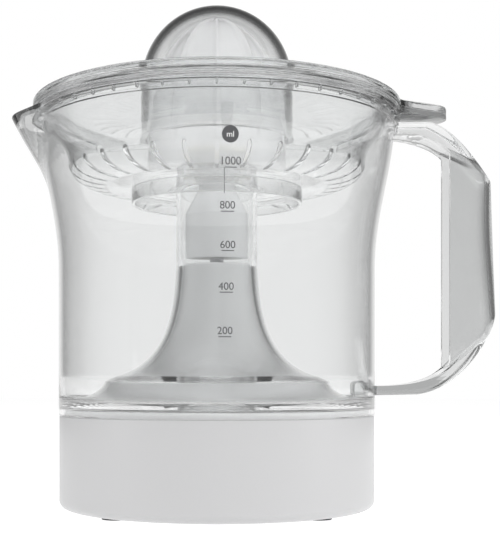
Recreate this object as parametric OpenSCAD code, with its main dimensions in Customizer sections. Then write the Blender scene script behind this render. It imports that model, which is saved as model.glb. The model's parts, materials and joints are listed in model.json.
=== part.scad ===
// Citrus press juicer: a motor base with a flared tower, and a clear jug, strainer, reamer and dust cover.
// Millimetres, +Z up. The origin is on the tower's axis, in the plane that the feet stand on.
// The handle points along +X and the spout along -X.

/* [Base] */
// Outer diameter of the base
base_d = 139.4; // [134:0.2:146]
// Height of the base's outer wall
base_h = 40.5; // [38:0.5:46]
// Wall thickness of the base mouldings
base_wall = 2.2; // [1.8:0.1:2.6]
// Radius of the fillet round the base's lower edge
base_fillet = 3.5; // [2:0.5:4]
// How far the feet stand proud of the base
foot_proud = 1; // [0.6:0.2:2]
// Diameter of each rubber foot
foot_d = 12; // [9:0.5:14]
// Height of the deck's edge above the base's wall
seat_h = 2.7; // [2:0.1:4]
// Depth of the cord store under the base
well_h = 11.4; // [11:0.2:12]
// Diameter of the cord store
well_d = 88; // [80:1:92]
// Diameter of the cord hole in the gland
cord_d = 6; // [5:0.5:6]

/* [Tower] */
// Radius of the tower's top
tower_r = 14.9; // [14.5:0.1:16]
// Height of the tower above the deck's edge
tower_h = 63.6; // [58:0.5:70]
// Radius at which the flare turns into the deck
flare_r = 47.4; // [44:0.2:50]
// Height of the flare's foot above the deck's edge
flare_z = 10.8; // [9:0.2:12]

/* [Drive] */
// Module of the gear teeth
gear_m = 1; // [0.9:0.05:1.05]
// Teeth on each small gear
pinion_teeth = 12; // [12:1:13]
// Teeth on each large gear
wheel_teeth = 30; // [28:1:31]
// Width of the teeth
gear_w = 3.2; // [2.6:0.1:3.4]
// Diameter of the steel spindle
spindle_d = 6; // [5:0.2:6.4]
// How far the spindle goes down when the reamer is pressed
press_travel = 1.5; // [1:0.1:1.6]
// Diameter of the motor can
motor_d = 32; // [30:0.5:32]
// Distance from the spindle to the motor's shaft
motor_offset = 30; // [28:0.5:32]
// Radius of the drive hub's collar
hub_r = 13.9; // [13.4:0.1:14.2]
// Height of the drive hub's collar
hub_h = 20; // [16:0.5:24]
// Height of the hub's sloping shoulder
shoulder_h = 8.7; // [7:0.1:10]
// Gap under the collar
hub_gap = 2.2; // [2:0.1:3]

/* [Jug] */
// How far the jug's straight wall stands proud of the base
jug_proud = 0.3; // [0.1:0.1:1]
// Wall thickness of the jug
jug_wall = 2.4; // [2:0.1:2.8]
// Height of the jug
jug_h = 128.5; // [124:0.5:134]
// Height of the straight part of the jug's wall
jug_straight = 61; // [54:0.5:66]
// How far the jug's wall has flared out at the rim
jug_flare = 8.6; // [7:0.2:10]
// Wall thickness of the jug's tube and floor
tube_wall = 1.8; // [1.5:0.1:2.1]
// Gap between the jug and the base's deck and tower
jug_gap = 0.6; // [0.4:0.1:1]
// Height of the tube's top above the tower's top
tube_rise = 35.2; // [33:0.2:36]
// Width of the rim's flange
rim_w = 2.3; // [1.8:0.1:2.8]
// Number of small ribs under the rim
rim_ribs = 48; // [36:1:60]

/* [Spout] */
// Reach of the spout beyond the jug's wall at the rim
spout_reach = 12.5; // [9:0.5:16]
// Radius of the spout's nose at the rim
spout_r = 30; // [24:1:34]
// Height of the spout
spout_h = 34.7; // [30:0.5:38]

/* [Handle] */
// Reach of the grip's outer face beyond the jug's straight wall
handle_reach = 54.1; // [50:0.5:60]
// Depth of the grip, from its inner edge to its outer face
grip_depth = 21.8; // [21:0.2:24]
// Width of the grip
grip_w = 20; // [18:0.5:24]
// Wall thickness of the grip's channel
grip_wall = 2.6; // [2.2:0.1:3]
// Thickness of the bridge over the fingers
bridge_h = 4.1; // [3.8:0.1:5]
// Thickness of the strap at the foot of the grip
strap_t = 4.1; // [3.4:0.1:4.4]

/* [Strainer] */
// Depth of the strainer bowl below the jug's rim
bowl_depth = 31.2; // [29:0.2:31.4]
// Wall thickness of the strainer
strainer_wall = 1.8; // [1.5:0.1:2.1]
// Number of juice slots
slot_count = 32; // [24:1:34]
// Width of each juice slot
slot_w = 1.7; // [1.2:0.1:2.2]
// Height of each slot's upper end above the bowl's floor
slot_rise = 8.6; // [6:0.2:10]
// Radius at which the slots end on the bowl's floor
slot_r = 48; // [44:0.5:52]
// Thickness of the strainer's flange
flange_t = 2.3; // [1.8:0.1:3]
// Reach of the thumb tabs beyond the jug's rim
tab_reach = 22.1; // [18:0.5:27]
// Height of the ring under the bowl's floor
skirt_h = 6.5; // [4:0.5:8]

/* [Reamer] */
// Radius of the reamer's skirt
reamer_r = 30.5; // [29:0.1:30.8]
// Height of the reamer's skirt
reamer_skirt = 12; // [9:0.5:14]
// Height of the reamer's cone above its skirt
reamer_h = 60.5; // [56:0.5:61]
// Wall thickness of the reamer
reamer_wall = 2; // [1.6:0.1:2.4]
// Number of ribs on the reamer
reamer_ribs = 10; // [8:1:12]
// Width of each rib
rib_w = 2.4; // [1.8:0.1:3]

/* [Dust cover] */
// Gap between the reamer's skirt and the dome
dome_gap = 1.3; // [1.1:0.1:3]
// Gap between the reamer's tip and the dome
tip_gap = 2.3; // [2:0.1:4]
// Wall thickness of the dust cover
cover_wall = 1.8; // [1.4:0.1:2]
// Height of the dust cover's rim
cover_rim = 3; // [2.4:0.1:4]
// Depth of the dish below the dust cover's rim
dish_depth = 13.1; // [11:0.1:13.5]

/* [Hidden] */

// Clearances
slip = 0.05;          // a screw or a bush in its own hole
running = 0.08;       // a shaft in its bearing
clear = 0.3;          // pieces that lift past each other
tiny = 0.01;

// Levels, from the plane that the feet stand on
z_under = foot_proud;
z_plate = z_under + 1.2;
plate_t = 2.4;
z_shell = z_under + base_h;
z_seat = z_shell + seat_h;
z_roof = z_plate + well_h;
z_floor = z_roof + plate_t;
z_tower = z_seat + tower_h;
z_flare = z_seat + flare_z;
z_hub = z_tower + hub_gap;
z_shoulder = z_hub + hub_h;
z_stem = z_shoulder + shoulder_h;
spindle_seat = 10;
z_tube = z_tower + tube_rise;
z_rim = z_seat + jug_h;
z_flange = z_rim + flange_t;
z_cover = z_flange + cover_rim;
z_bowl = z_rim - bowl_depth;

// Base
base_r = base_d / 2;
shell_r = base_r - base_wall;
ledge_w = 2.6;
ledge_t = 1.6;
shoulder_w = 1.8;
deck_r = base_r - 2.5;
spigot_h = 5.5;
well_r = well_d / 2;
plate_r = base_r - base_fillet - 0.2;
screw_ring = base_r - 12;
foot_ring = base_r - 11.5;
screw_d = 3;
boss_d = 8;
boss_foot_z = z_plate + 5.8;
channel_w = 9;
channel_h = 6;
gland_z = (z_plate + plate_t + z_roof) / 2;
gland_r = gland_z - z_plate - plate_t - 0.1;
spool_r = 16;
spool_wall = 2;
hook_l = 14;
hook_w = 12;
hook_t = 2;

// Flare of the tower, from its top to the deck
flare = [[tower_r, z_tower], [tower_r + 1, z_tower - 22.8],
    [tower_r + 5.1, z_flare + 6], [flare_r, z_flare]];
flare_steps = 16;
deck = [[flare_r, z_flare], [flare_r + 2.6, z_flare - 6], [flare_r + 7.6, z_seat + 2],
    [deck_r - 1, z_seat + 0.4]];
deck_steps = 8;

// Gear train
wheel_r = gear_m * wheel_teeth / 2;
pinion_r = gear_m * pinion_teeth / 2;
gear_span = wheel_r + pinion_r;
idler_x = -motor_offset / 2;
idler_y = sqrt(gear_span * gear_span - idler_x * idler_x);
to_idler = atan2(idler_y, idler_x);
to_motor = atan2(-idler_y, -motor_offset - idler_x);
addendum = 0.75 * gear_m;
dedendum = 1.1 * gear_m;
pressure = 25;
backlash = 0.14;
motor_h = 20.5;
gearbox_t = 2;
gear_under = 0.9;
gear_between = 0.5;
gear_over = 1.9;
z_gearbox = z_floor + motor_h;
z_low_gear = z_gearbox + gearbox_t + gear_under;
z_high_gear = z_low_gear + gear_w + press_travel + gear_between;
z_lid = z_high_gear + gear_w + gear_over;
lid_t = 2;
lid_screw_r = 1.2;
lid_screw_l = 6;
pin_d = 3;
shaft_d = 2;
spindle_r = spindle_d / 2;
motor_r = motor_d / 2;
can_t = 1;
coil_r = motor_r - can_t - 0.5;
magnet_r = 9.5;
pillars = [[26, 17], [26, -17], [-8, -25]];
pillar_r = 3.2;

// Press switch
z_carrier = z_floor + 8;
carrier_r = 9;
carrier_t = 3;
guide_r = carrier_r + running;
guide_wall = 1.8;
arm_w = 6;
switch_l = 13;
switch_w = 6.4;
switch_h = 8.5;
switch_x = 17.5;
button_x = switch_x + switch_l * 0.35;
button_r = 1.3;
spring_r = 6.6;
wire_r = 0.5;
spring_turns = 4;

// Drive hub and what it turns
hub_bore_r = spindle_r + 0.02;
stem_r = 8;
stem_h = 20.3;
z_drive = z_stem + stem_h;
spline_r = 6;
spline_key = 1.4;
spline_h = 25;
spline_keys = 6;
socket_gap = 0.2;
socket_r = 10.5;

// Jug
jug_r = base_r + jug_proud;
rim_r = jug_r + jug_flare + rim_w;
wall_path = [[jug_r, z_seat + jug_straight], [jug_r, z_seat + jug_straight + 23],
    [jug_r + jug_flare - 1.6, z_rim - 26.7], [jug_r + jug_flare, z_rim - 5.7]];
wall_steps = 14;
foot_r = deck_r + jug_gap;
tube_r = tower_r + jug_gap + 2.6;
tube_bore_r = tube_r - tube_wall;

// Spout
spout_path = [[wall_at(z_rim - spout_h) - 0.2, z_rim - spout_h], [jug_r + jug_flare - 2.1, z_rim - spout_h + 12],
    [jug_r + jug_flare + 0.424 * spout_reach, z_rim - 14.7], [jug_r + jug_flare + spout_reach, z_rim]];
spout_half = 52;
spout_steps = 26;
spout_rings = 9;

// Handle
grip_out = jug_r + handle_reach;
grip_in = grip_out - grip_depth;
bridge_z = z_rim - 2.4;
strap_z = z_seat + 6;

// Strainer
locate_r = jug_r + jug_flare - jug_wall - 0.4;
flange_r = rim_r + 0.1;
bowl_upper = [[locate_r, z_rim - 3], [locate_r - 3.8, z_rim - 11],
    [locate_r - 9.4, z_rim - 11], [locate_r - 10.2, z_rim - 22]];
bowl_lower = [[locate_r - 10.2, z_rim - 22], [locate_r - 10.8, z_bowl + 4],
    [locate_r - 17.3, z_bowl + 1.1], [locate_r - 27.8, z_bowl + 0.7]];
bowl_steps = 9;
skirt_r = 38;
z_boss = z_bowl + 8.4;
chimney_r = 13.5;
chimney_wall = 2;
z_chimney = z_drive - press_travel - 0.7;
boss_r = 23;
tab_r = 9;
tab_x = rim_r + tab_reach;
tab_half = 22;

// Reamer
bush_r = chimney_r + 2.1;
z_bush = z_chimney - 4;
bush_h = 3.5;
z_skirt = z_bowl + 4.5;
z_cone = z_skirt + reamer_skirt;
cone_path = [[reamer_r, z_cone], [reamer_r, z_cone + 0.612 * reamer_h],
    [0.623 * reamer_r, z_cone + 0.909 * reamer_h], [0, z_cone + reamer_h]];
rib_path = [[reamer_r - 0.5, z_cone], [reamer_r + 0.5, z_cone + 0.645 * reamer_h],
    [0.672 * reamer_r, z_cone + 0.95 * reamer_h], [0, z_cone + reamer_h + 1.3]];
cone_steps = 16;
web_count = 5;
web_t = 1.6;

// Dust cover
cover_r = flange_r + 0.2;
z_dish = z_cover - dish_depth;
dome_in = reamer_r + dome_gap;
dome_r = dome_in + cover_wall;
dome_z = z_cone + reamer_h + tip_gap - dome_in;
dish_r = locate_r - strainer_wall - 0.4;
dish_path = [[dish_r, z_cover], [dish_r - 4.8, z_cover - 8],
    [dish_r - 15.6, z_dish + 0.4], [dome_r + 8, z_dish]];
dish_steps = 12;

white = [0.93, 0.93, 0.93];
crystal = [0.84, 0.86, 0.87, 0.45];
frosted = [0.92, 0.93, 0.94, 0.8];
steel = [0.62, 0.63, 0.65];
dark = [0.16, 0.16, 0.17];
copper = [0.72, 0.42, 0.24];
nylon = [0.88, 0.86, 0.78];

// ---- Curves ----

function bezier(p, t) = pow(1 - t, 3) * p[0] + 3 * pow(1 - t, 2) * t * p[1]
    + 3 * (1 - t) * t * t * p[2] + pow(t, 3) * p[3];
function heading(p, t) = let (d = pow(1 - t, 2) * (p[1] - p[0])
    + 2 * (1 - t) * t * (p[2] - p[1]) + t * t * (p[3] - p[2])) d / norm(d);
// A curve moved to its left by d0 at its start and d1 at its end
function beside(p, n, d0, d1) = [for (i = [0:n]) let (t = i / n, u = heading(p, t), d = d0 + t * (d1 - d0))
    bezier(p, t) + d * [-u[1], u[0]]];
function curve(p, n) = beside(p, n, 0, 0);
// The same, kept from crossing the axis
function within(p, n, d) = [for (q = beside(p, n, d, d)) [max(0, q[0]), q[1]]];
function reversed(a) = [for (i = [len(a) - 1:-1:0]) a[i]];
function arc(c, r, from, to, n) = [for (i = [0:n]) let (a = from + (to - from) * i / n)
    [c[0] + r * cos(a), c[1] + r * sin(a)]];

module turned(outline) { rotate_extrude($fn = 180) polygon(outline); }

module tube(r_out, r_in, z0, z1) {
    translate([0, 0, z0]) difference() {
        cylinder(r = r_out, h = z1 - z0, $fn = 96);
        translate([0, 0, -1]) cylinder(r = r_in, h = z1 - z0 + 2, $fn = 96);
    }
}

module around(count, radius, start = 0) {
    for (i = [0:count - 1]) rotate(start + i * 360 / count) translate([radius, 0, 0]) children();
}

// ---- Base ----

module base_shell() {
    color(white) difference() {
        turned(concat(
            arc([base_r - base_fillet, z_under + base_fillet], base_fillet, -84, 0, 8),
            arc([base_r - 0.8, z_shell - 0.8], 0.8, 0, 90, 3),
            [[shell_r, z_shell], [shell_r, z_shell - spigot_h], [shell_r - shoulder_w, z_shell - spigot_h],
             [shell_r, z_shell - spigot_h - 2 * shoulder_w], [shell_r, z_plate + plate_t + ledge_t],
             [shell_r - ledge_w, z_plate + plate_t + ledge_t], [shell_r - ledge_w, z_plate + plate_t],
             [base_r - base_fillet, z_plate + plate_t], [base_r - base_fillet, z_under]]));
        translate([-channel_w / 2, shell_r - 8, 0]) cube([channel_w, 20, z_plate + channel_h]);
    }
}

// Deck and tower in one moulding, with the bosses that the housing screws turn into
module motor_cover() {
    color(white) difference() {
        union() {
            turned(concat(
                [[tower_r - 1, z_tower]], curve(flare, flare_steps), curve(deck, deck_steps),
                [[deck_r, z_seat - 0.6], [deck_r, z_shell - spigot_h],
                 [deck_r - base_wall, z_shell - spigot_h], [deck_r - base_wall, z_seat - base_wall]],
                reversed([for (q = beside(deck, deck_steps, -base_wall, -base_wall))
                    if (q[0] < deck_r - base_wall - 0.5 && q[1] < z_flare - base_wall - 2) q]),
                reversed(beside(flare, flare_steps, -base_wall, -base_wall)),
                [[tower_r - base_wall, z_tower - 3], [spindle_r + 3.02, z_tower - 3],
                 [spindle_r + 3.02, z_tower]]));
            around(3, screw_ring, 30)
                translate([0, 0, boss_foot_z]) cylinder(d = boss_d, h = z_seat - boss_foot_z + 1, $fn = 48);
        }
        around(3, screw_ring, 30)
            translate([0, 0, boss_foot_z - 1]) cylinder(d = screw_d + 2 * slip, h = 15, $fn = 32);
    }
}

// Hub and three hooks that the cord is wound on, under the mount plate
module cord_spool() {
    z_hook = z_plate + hook_t;
    color(white) {
        tube(spool_r, spool_r - spool_wall, z_hook, z_roof);
        translate([0, 0, z_roof - spool_wall]) cylinder(r = spool_r, h = spool_wall, $fn = 96);
        around(3, 0, 30) translate([spool_r - spool_wall / 2, -hook_w / 2, z_hook])
            cube([hook_l, hook_w, hook_t]);
    }
}

// Roof of the cord store: carries the motor, the gearbox's pillars and the guide of the spring
module mount_plate() {
    color(white) {
        translate([0, 0, z_roof]) cylinder(r = well_r + base_wall, h = z_floor - z_roof, $fn = 180);
        tube(guide_r + guide_wall, guide_r, z_floor - 1, z_carrier + carrier_t - press_travel - 0.4);
    }
}

module bottom_cover() {
    color(white) difference() {
        union() {
            turned([[well_r, z_plate], [plate_r, z_plate], [plate_r, z_plate + plate_t],
                [well_r + base_wall, z_plate + plate_t], [well_r + base_wall, z_roof], [well_r, z_roof]]);
            around(3, screw_ring, 30) translate([0, 0, z_plate])
                cylinder(d = boss_d + 3, h = boss_foot_z - z_plate, $fn = 48);
            around(4, foot_ring, 45) translate([0, 0, z_plate])
                cylinder(d = foot_d + 2.4, h = plate_t + 1.2, $fn = 48);
            translate([-channel_w / 2 - 2, well_r + 1, z_plate])
                cube([channel_w + 4, shell_r - ledge_w - well_r - 1.5, channel_h + 2]);
        }
        around(3, screw_ring, 30) {
            translate([0, 0, z_plate - 1]) cylinder(d = screw_d + 0.4, h = 12, $fn = 32);
            translate([0, 0, z_plate - 1]) cylinder(d = 2 * screw_d + 0.8, h = 3.8, $fn = 32);
        }
        around(4, foot_ring, 45) translate([0, 0, z_plate - 1])
            cylinder(d = foot_d + 2 * slip, h = 2, $fn = 48);
        translate([-channel_w / 2, well_r - 4, z_plate - 1]) cube([channel_w, 40, channel_h + 1]);
        translate([well_r - 5, 0, gland_z]) rotate([0, 90, 0])
            cylinder(d = cord_d + 1.6, h = base_wall + 10, $fn = 48);
    }
}

module rubber_feet() {
    color(dark) around(4, foot_ring, 45) cylinder(d = foot_d, h = z_plate + 1, $fn = 48);
}

module housing_screws() {
    color(steel) around(3, screw_ring, 30) {
        translate([0, 0, z_plate + 2.8 - 2.2]) cylinder(r = screw_d, h = 2.2, $fn = 32);
        translate([0, 0, z_plate + 2.7]) cylinder(d = screw_d, h = 13, $fn = 32);
    }
}

// Rubber bush in the wall of the cord store, where the mains lead comes in
module cord_gland() {
    flange = 1.35;
    grip = base_wall + 0.55;
    color(dark) translate([well_r - 0.5 - flange, 0, gland_z]) rotate([0, 90, 0]) difference() {
        union() {
            cylinder(d = cord_d + 1.6 - 2 * slip, h = grip + 2 * flange, $fn = 48);
            for (z = [0, grip + flange]) translate([0, 0, z]) cylinder(r = gland_r, h = flange, $fn = 48);
        }
        translate([0, 0, -1]) cylinder(d = cord_d, h = 20, $fn = 48);
    }
}

// ---- Motor and gearbox ----

// One tooth flank of an involute gear: radius and half angle from the tooth's middle
function involute(a) = tan(a) * 180 / PI - a;
function half_tooth(teeth, r) = let (pitch = gear_m * teeth / 2, base = pitch * cos(pressure),
    thick = 90 / teeth - backlash / pitch * 45 / PI + involute(pressure))
    thick - (r > base ? involute(acos(base / r)) : 0);
module gear(teeth, height, phase) {
    pitch = gear_m * teeth / 2;
    root = pitch - dedendum;
    steps = 4;
    flank = [for (i = [0:steps]) root + (pitch + addendum - root) * i / steps];
    linear_extrude(height) polygon([for (k = [0:teeth - 1]) let (a = phase + k * 360 / teeth)
        each concat([for (r = flank) r * [cos(a - half_tooth(teeth, r)), sin(a - half_tooth(teeth, r))]],
        [for (r = reversed(flank)) r * [cos(a + half_tooth(teeth, r)), sin(a + half_tooth(teeth, r))]])]);
}

module motor_can() {
    color(steel) translate([-motor_offset, 0, z_floor]) difference() {
        cylinder(r = motor_r, h = motor_h, $fn = 96);
        translate([0, 0, can_t]) cylinder(r = motor_r - can_t, h = motor_h, $fn = 96);
    }
}

module motor_coil() {
    color(copper) translate([-motor_offset, 0, z_floor + can_t]) difference() {
        cylinder(r = coil_r, h = motor_h - can_t - 1, $fn = 96);
        translate([0, 0, -1]) cylinder(r = magnet_r + 0.8, h = motor_h + 2, $fn = 96);
    }
}

module rotor_magnet() {
    color(dark) translate([-motor_offset, 0, z_floor + can_t + 1]) difference() {
        cylinder(r = magnet_r, h = motor_h - can_t - 2.5, $fn = 64);
        translate([0, 0, -1]) cylinder(r = shaft_d / 2 + tiny, h = motor_h + 2, $fn = 32);
    }
}

module rotor_pinion() {
    color(steel) translate([-motor_offset, 0, 0]) {
        translate([0, 0, z_floor + can_t + 0.2])
            cylinder(d = shaft_d, h = z_low_gear - z_floor - can_t, $fn = 32);
        translate([0, 0, z_low_gear]) gear(pinion_teeth, gear_w, to_motor + 180 + 180 / pinion_teeth);
    }
}

module idler_gear() {
    color(nylon) translate([idler_x, idler_y, 0]) difference() {
        union() {
            translate([0, 0, z_low_gear]) gear(wheel_teeth, gear_w, to_motor);
            translate([0, 0, z_low_gear + gear_w - tiny])
                gear(pinion_teeth, z_high_gear - z_low_gear + clear, to_idler + 180 + 180 / pinion_teeth);
        }
        translate([0, 0, z_gearbox]) cylinder(d = pin_d + 2 * running, h = z_lid - z_gearbox, $fn = 32);
    }
}

module idler_pin() {
    color(steel) translate([idler_x, idler_y, z_gearbox]) cylinder(d = pin_d, h = z_lid + lid_t - z_gearbox, $fn = 32);
}

module gearbox_outline(edge) {
    hull() {
        translate([-motor_offset, 0]) circle(r = pinion_r + edge, $fn = 32);
        translate([idler_x, idler_y]) circle(r = pinion_r + edge, $fn = 32);
        for (p = pillars) translate(p) circle(r = pillar_r + 1.6, $fn = 32);
    }
}

module gearbox_plate() {
    color(steel) difference() {
        union() {
            translate([0, 0, z_gearbox]) linear_extrude(gearbox_t) gearbox_outline(6);
            translate([-motor_offset, 0, z_gearbox]) cylinder(r = motor_r, h = gearbox_t, $fn = 96);
            for (p = pillars) translate([p[0], p[1], z_floor])
                cylinder(r = pillar_r, h = z_lid - z_floor, $fn = 32);
        }
        translate([-motor_offset, 0, z_gearbox - 1]) cylinder(d = shaft_d + 2 * running, h = 10, $fn = 32);
        translate([idler_x, idler_y, z_gearbox - 1]) cylinder(d = pin_d + 2 * tiny, h = 10, $fn = 32);
        translate([0, 0, z_gearbox - 1]) cylinder(r = spindle_r + 0.5, h = 10, $fn = 48);
        for (p = pillars) translate([p[0], p[1], z_lid - lid_screw_l - 1])
            cylinder(r = lid_screw_r + slip, h = lid_screw_l + 2, $fn = 32);
    }
}

module gearbox_lid() {
    color(steel) difference() {
        translate([0, 0, z_lid]) linear_extrude(lid_t) gearbox_outline(2);
        translate([idler_x, idler_y, z_lid - 1]) cylinder(d = pin_d + 2 * tiny, h = 10, $fn = 32);
        translate([0, 0, z_lid - 1]) cylinder(r = spindle_r + 2 + tiny, h = 10, $fn = 48);
        for (p = pillars) translate([p[0], p[1], z_lid - 1])
            cylinder(r = lid_screw_r + slip, h = lid_t + 2, $fn = 32);
    }
}

module gearbox_screws() {
    color(steel) for (p = pillars) translate([p[0], p[1], 0]) {
        translate([0, 0, z_lid - lid_screw_l])
            cylinder(r = lid_screw_r, h = lid_screw_l + lid_t + tiny, $fn = 32);
        translate([0, 0, z_lid + lid_t]) cylinder(r = 2 * lid_screw_r, h = 1.4, $fn = 32);
    }
}

module spindle_bushes() {
    color([0.7, 0.58, 0.36]) {
        tube(spindle_r + 3, spindle_r + running, z_tower - 3.8, z_tower);
        tube(spindle_r + 4, spindle_r + running, z_tower - 5, z_tower - 3.8 + tiny);
        tube(spindle_r + 2, spindle_r + running, z_lid, z_lid + lid_t);
    }
}

// ---- Spindle, its press switch and its spring ----

module spindle_carrier() {
    color(nylon) difference() {
        union() {
            translate([0, 0, z_carrier]) cylinder(r = carrier_r, h = carrier_t, $fn = 96);
            translate([0, 0, z_carrier + 1]) cylinder(r = spindle_r + 2.6, h = carrier_t + 5, $fn = 64);
            translate([0, -arm_w / 2, z_carrier + carrier_t]) cube([button_x + 3, arm_w, 2]);
        }
        translate([0, 0, z_carrier + carrier_t]) cylinder(r = spindle_r + running, h = 20, $fn = 48);
    }
}

module switch_case() {
    color(dark) difference() {
        translate([switch_x, -switch_w / 2, z_floor]) cube([switch_l, switch_w, switch_h]);
        translate([button_x, 0, z_floor + switch_h - 4.5]) cylinder(r = button_r + running, h = 10, $fn = 32);
    }
}

module switch_button() {
    color([0.75, 0.12, 0.1]) translate([button_x, 0, z_floor + switch_h - 2.7])
        cylinder(r = button_r, h = z_carrier + carrier_t - z_floor - switch_h + 2.7, $fn = 32);
}

// A round wire swept along a helix, with its ends lying in the planes of its seats
module return_spring() {
    around_turn = 16;
    sides = 8;
    rings = spring_turns * around_turn;
    z0 = z_floor + wire_r;
    z1 = z_carrier - wire_r;
    lie = function(s) max(0, min(1, (s * spring_turns - 0.75) / (spring_turns - 1.5)));
    points = [for (i = [0:rings]) for (k = [0:sides - 1]) let (s = i / rings, a = 360 * s * spring_turns,
        b = 360 * k / sides, r = spring_r + wire_r * cos(b))
        [r * cos(a), r * sin(a), z0 + (z1 - z0) * lie(s) + wire_r * sin(b)]];
    skin = [for (i = [0:rings - 1]) for (k = [0:sides - 1]) let (n = (k + 1) % sides)
        [i * sides + k, i * sides + n, (i + 1) * sides + n, (i + 1) * sides + k]];
    ends = [[for (k = [sides - 1:-1:0]) k], [for (k = [0:sides - 1]) rings * sides + k]];
    color(steel) polyhedron(points, concat(skin, ends));
}

module spindle_rod() {
    color(steel) translate([0, 0, z_carrier + carrier_t])
        cylinder(r = spindle_r, h = z_stem + spindle_seat - z_carrier - carrier_t, $fn = 64);
}

module output_gear() {
    color(nylon) difference() {
        union() {
            translate([0, 0, z_high_gear]) gear(wheel_teeth, gear_w, to_idler);
            translate([0, 0, z_high_gear - 1.5]) cylinder(r = spindle_r + 1.8, h = gear_w + 1.5, $fn = 48);
        }
        translate([0, 0, z_gearbox]) cylinder(r = spindle_r + tiny, h = z_lid - z_gearbox, $fn = 64);
        around(5, 9.6, 36) translate([0, 0, z_gearbox])
            cylinder(r = 2.6, h = z_lid - z_gearbox, $fn = 32);
    }
}

module spindle_clip() {
    color(steel) difference() {
        translate([0, 0, z_gearbox - 1.2]) cylinder(r = spindle_r + 2.6, h = 0.9, $fn = 48);
        translate([0, 0, z_gearbox - 3]) cylinder(r = spindle_r + tiny, h = 10, $fn = 64);
        translate([0, -1.2, z_gearbox - 3]) cube([10, 2.4, 10]);
    }
}

module keys(r, key, height) { around(spline_keys, 0) translate([0, -key, 0]) cube([r + 1.5, 2 * key, height]); }

module splined(r, key, height) {
    cylinder(r = r, h = height, $fn = 64);
    keys(r, key, height);
}

module drive_hub() {
    color(white) difference() {
        union() {
            turned(concat([[0, z_hub], [hub_r - 0.5, z_hub], [hub_r, z_hub + 0.5]],
                arc([hub_r - 1.5, z_shoulder - 1], 1.5, 0, 50, 4),
                [[stem_r + 1, z_stem], [stem_r, z_stem + 2], [stem_r, z_drive], [spline_r, z_drive],
                 [spline_r, z_drive + spline_h - 3], [spline_r - 2, z_drive + spline_h],
                 [0, z_drive + spline_h]]));
            translate([0, 0, z_drive - 1]) keys(spline_r, spline_key, spline_h - 3);
        }
        tube(hub_r - 2.4, spindle_r + 2.5, z_hub - 1, z_shoulder - 3);
        translate([0, 0, z_hub - 1]) cylinder(r = hub_bore_r, h = z_stem + spindle_seat - z_hub + 1 + tiny, $fn = 64);
    }
    color(white) intersection() {
        tube(hub_r - 1.2, spindle_r + 1.5, z_hub + 1, z_shoulder - 2);
        around(6, 0) translate([0, -0.8, z_hub]) cube([hub_r, 1.6, hub_h]);
    }
}

// ---- Jug ----

function spout_edge(tip, body, nose, a) = let (reach = tip - nose,
    turn = acos(min(1, (body - nose) / reach)),
    nose_end = atan2(nose * sin(turn), reach + nose * cos(turn)), b = abs(a))
    b >= turn ? body
    : b > nose_end ? body / cos(turn - b)
    : reach * cos(b) + sqrt(max(0, nose * nose - pow(reach * sin(b), 2)));

// Radius of the jug's outside at height z, found by halving
function wall_at(z, lo = 0, hi = 1, n = 12) = let (mid = (lo + hi) / 2, p = bezier(wall_path, mid))
    n == 0 ? p[0] : p[1] < z ? wall_at(z, mid, hi, n - 1) : wall_at(z, lo, mid, n - 1);

// The spout's bulge, from the given depth inside the wall's outer face, cut back by inset on the outside.
// Beside the spout it ends just under the face, and above the rim it carries on by extra.
module spout_bulge(inset, under, depth, extra) {
    levels = [for (i = [0:spout_rings]) let (p = bezier(spout_path, i / spout_rings))
        [p[0] - inset, p[1], wall_at(p[1])]];
    top = levels[spout_rings];
    stack = extra > 0 ? concat(levels, [[top[0], z_rim + extra, top[2]]]) : levels;
    angles = [for (i = [0:spout_steps]) spout_half * (2 * i / spout_steps - 1)];
    count = 2 * (spout_steps + 1);
    points = [for (l = stack) each concat(
        [for (a = angles) let (body = l[2] - under,
            r = spout_edge(max(l[0], body + 0.05), body, spout_r - inset, a)) [-r * cos(a), -r * sin(a), l[1]]],
        [for (a = reversed(angles)) let (r = l[2] - depth) [-r * cos(a), -r * sin(a), l[1]]])];
    last = len(stack) - 1;
    skin = [for (j = [0:last - 1]) for (i = [0:count - 1]) let (n = (i + 1) % count)
        each [[j * count + i, (j + 1) * count + i, j * count + n],
              [(j + 1) * count + i, (j + 1) * count + n, j * count + n]]];
    ends = [for (i = [0:spout_steps - 1]) let (m = count - 1 - i)
        each [[i, i + 1, m - 1], [i, m - 1, m]]];
    caps = concat(ends, [for (f = ends) [f[2] + last * count, f[1] + last * count, f[0] + last * count]]);
    polyhedron(points, concat(skin, caps));
}

module jug_body() {
    outer = curve(wall_path, wall_steps);
    inner = reversed(beside(wall_path, wall_steps, jug_wall, jug_wall));
    over = beside(flare, flare_steps, jug_gap + 2.6, jug_gap + tube_wall);
    under = beside(flare, flare_steps, jug_gap, jug_gap);
    over_deck = [for (q = beside(deck, deck_steps, jug_gap + tube_wall, jug_gap + tube_wall))
        if (q[0] < jug_r - jug_wall - 4) q];
    top_r = jug_r + jug_flare;
    inner_r = jug_r - jug_wall;
    floor_z = z_seat + jug_gap + tube_wall;
    turned(concat(
        [[foot_r, z_shell], [jug_r - 0.5, z_shell], [jug_r, z_shell + 0.5]], outer,
        [[top_r + 0.7, z_rim - 5.4], [top_r + 0.7, z_rim - 4.8], [top_r + 0.2, z_rim - 4.5],
         [top_r + 0.2, z_rim - 2.4], [rim_r, z_rim - 2.4], [rim_r, z_rim - 0.4], [rim_r - 0.4, z_rim],
         [top_r - jug_wall + 0.8, z_rim], [top_r - jug_wall, z_rim - 0.8]], inner,
        arc([inner_r - 3, floor_z + 3.6], 3, 0, -60, 5), reversed(over_deck), reversed(over),
        [[tube_r, z_tower + 4], [tube_r, z_tube - 0.6], [tube_r - 0.6, z_tube],
         [tube_bore_r, z_tube], [tube_bore_r, z_tower + 3]], under,
        beside(deck, deck_steps, jug_gap, jug_gap), [[foot_r, z_seat]]));
}

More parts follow.
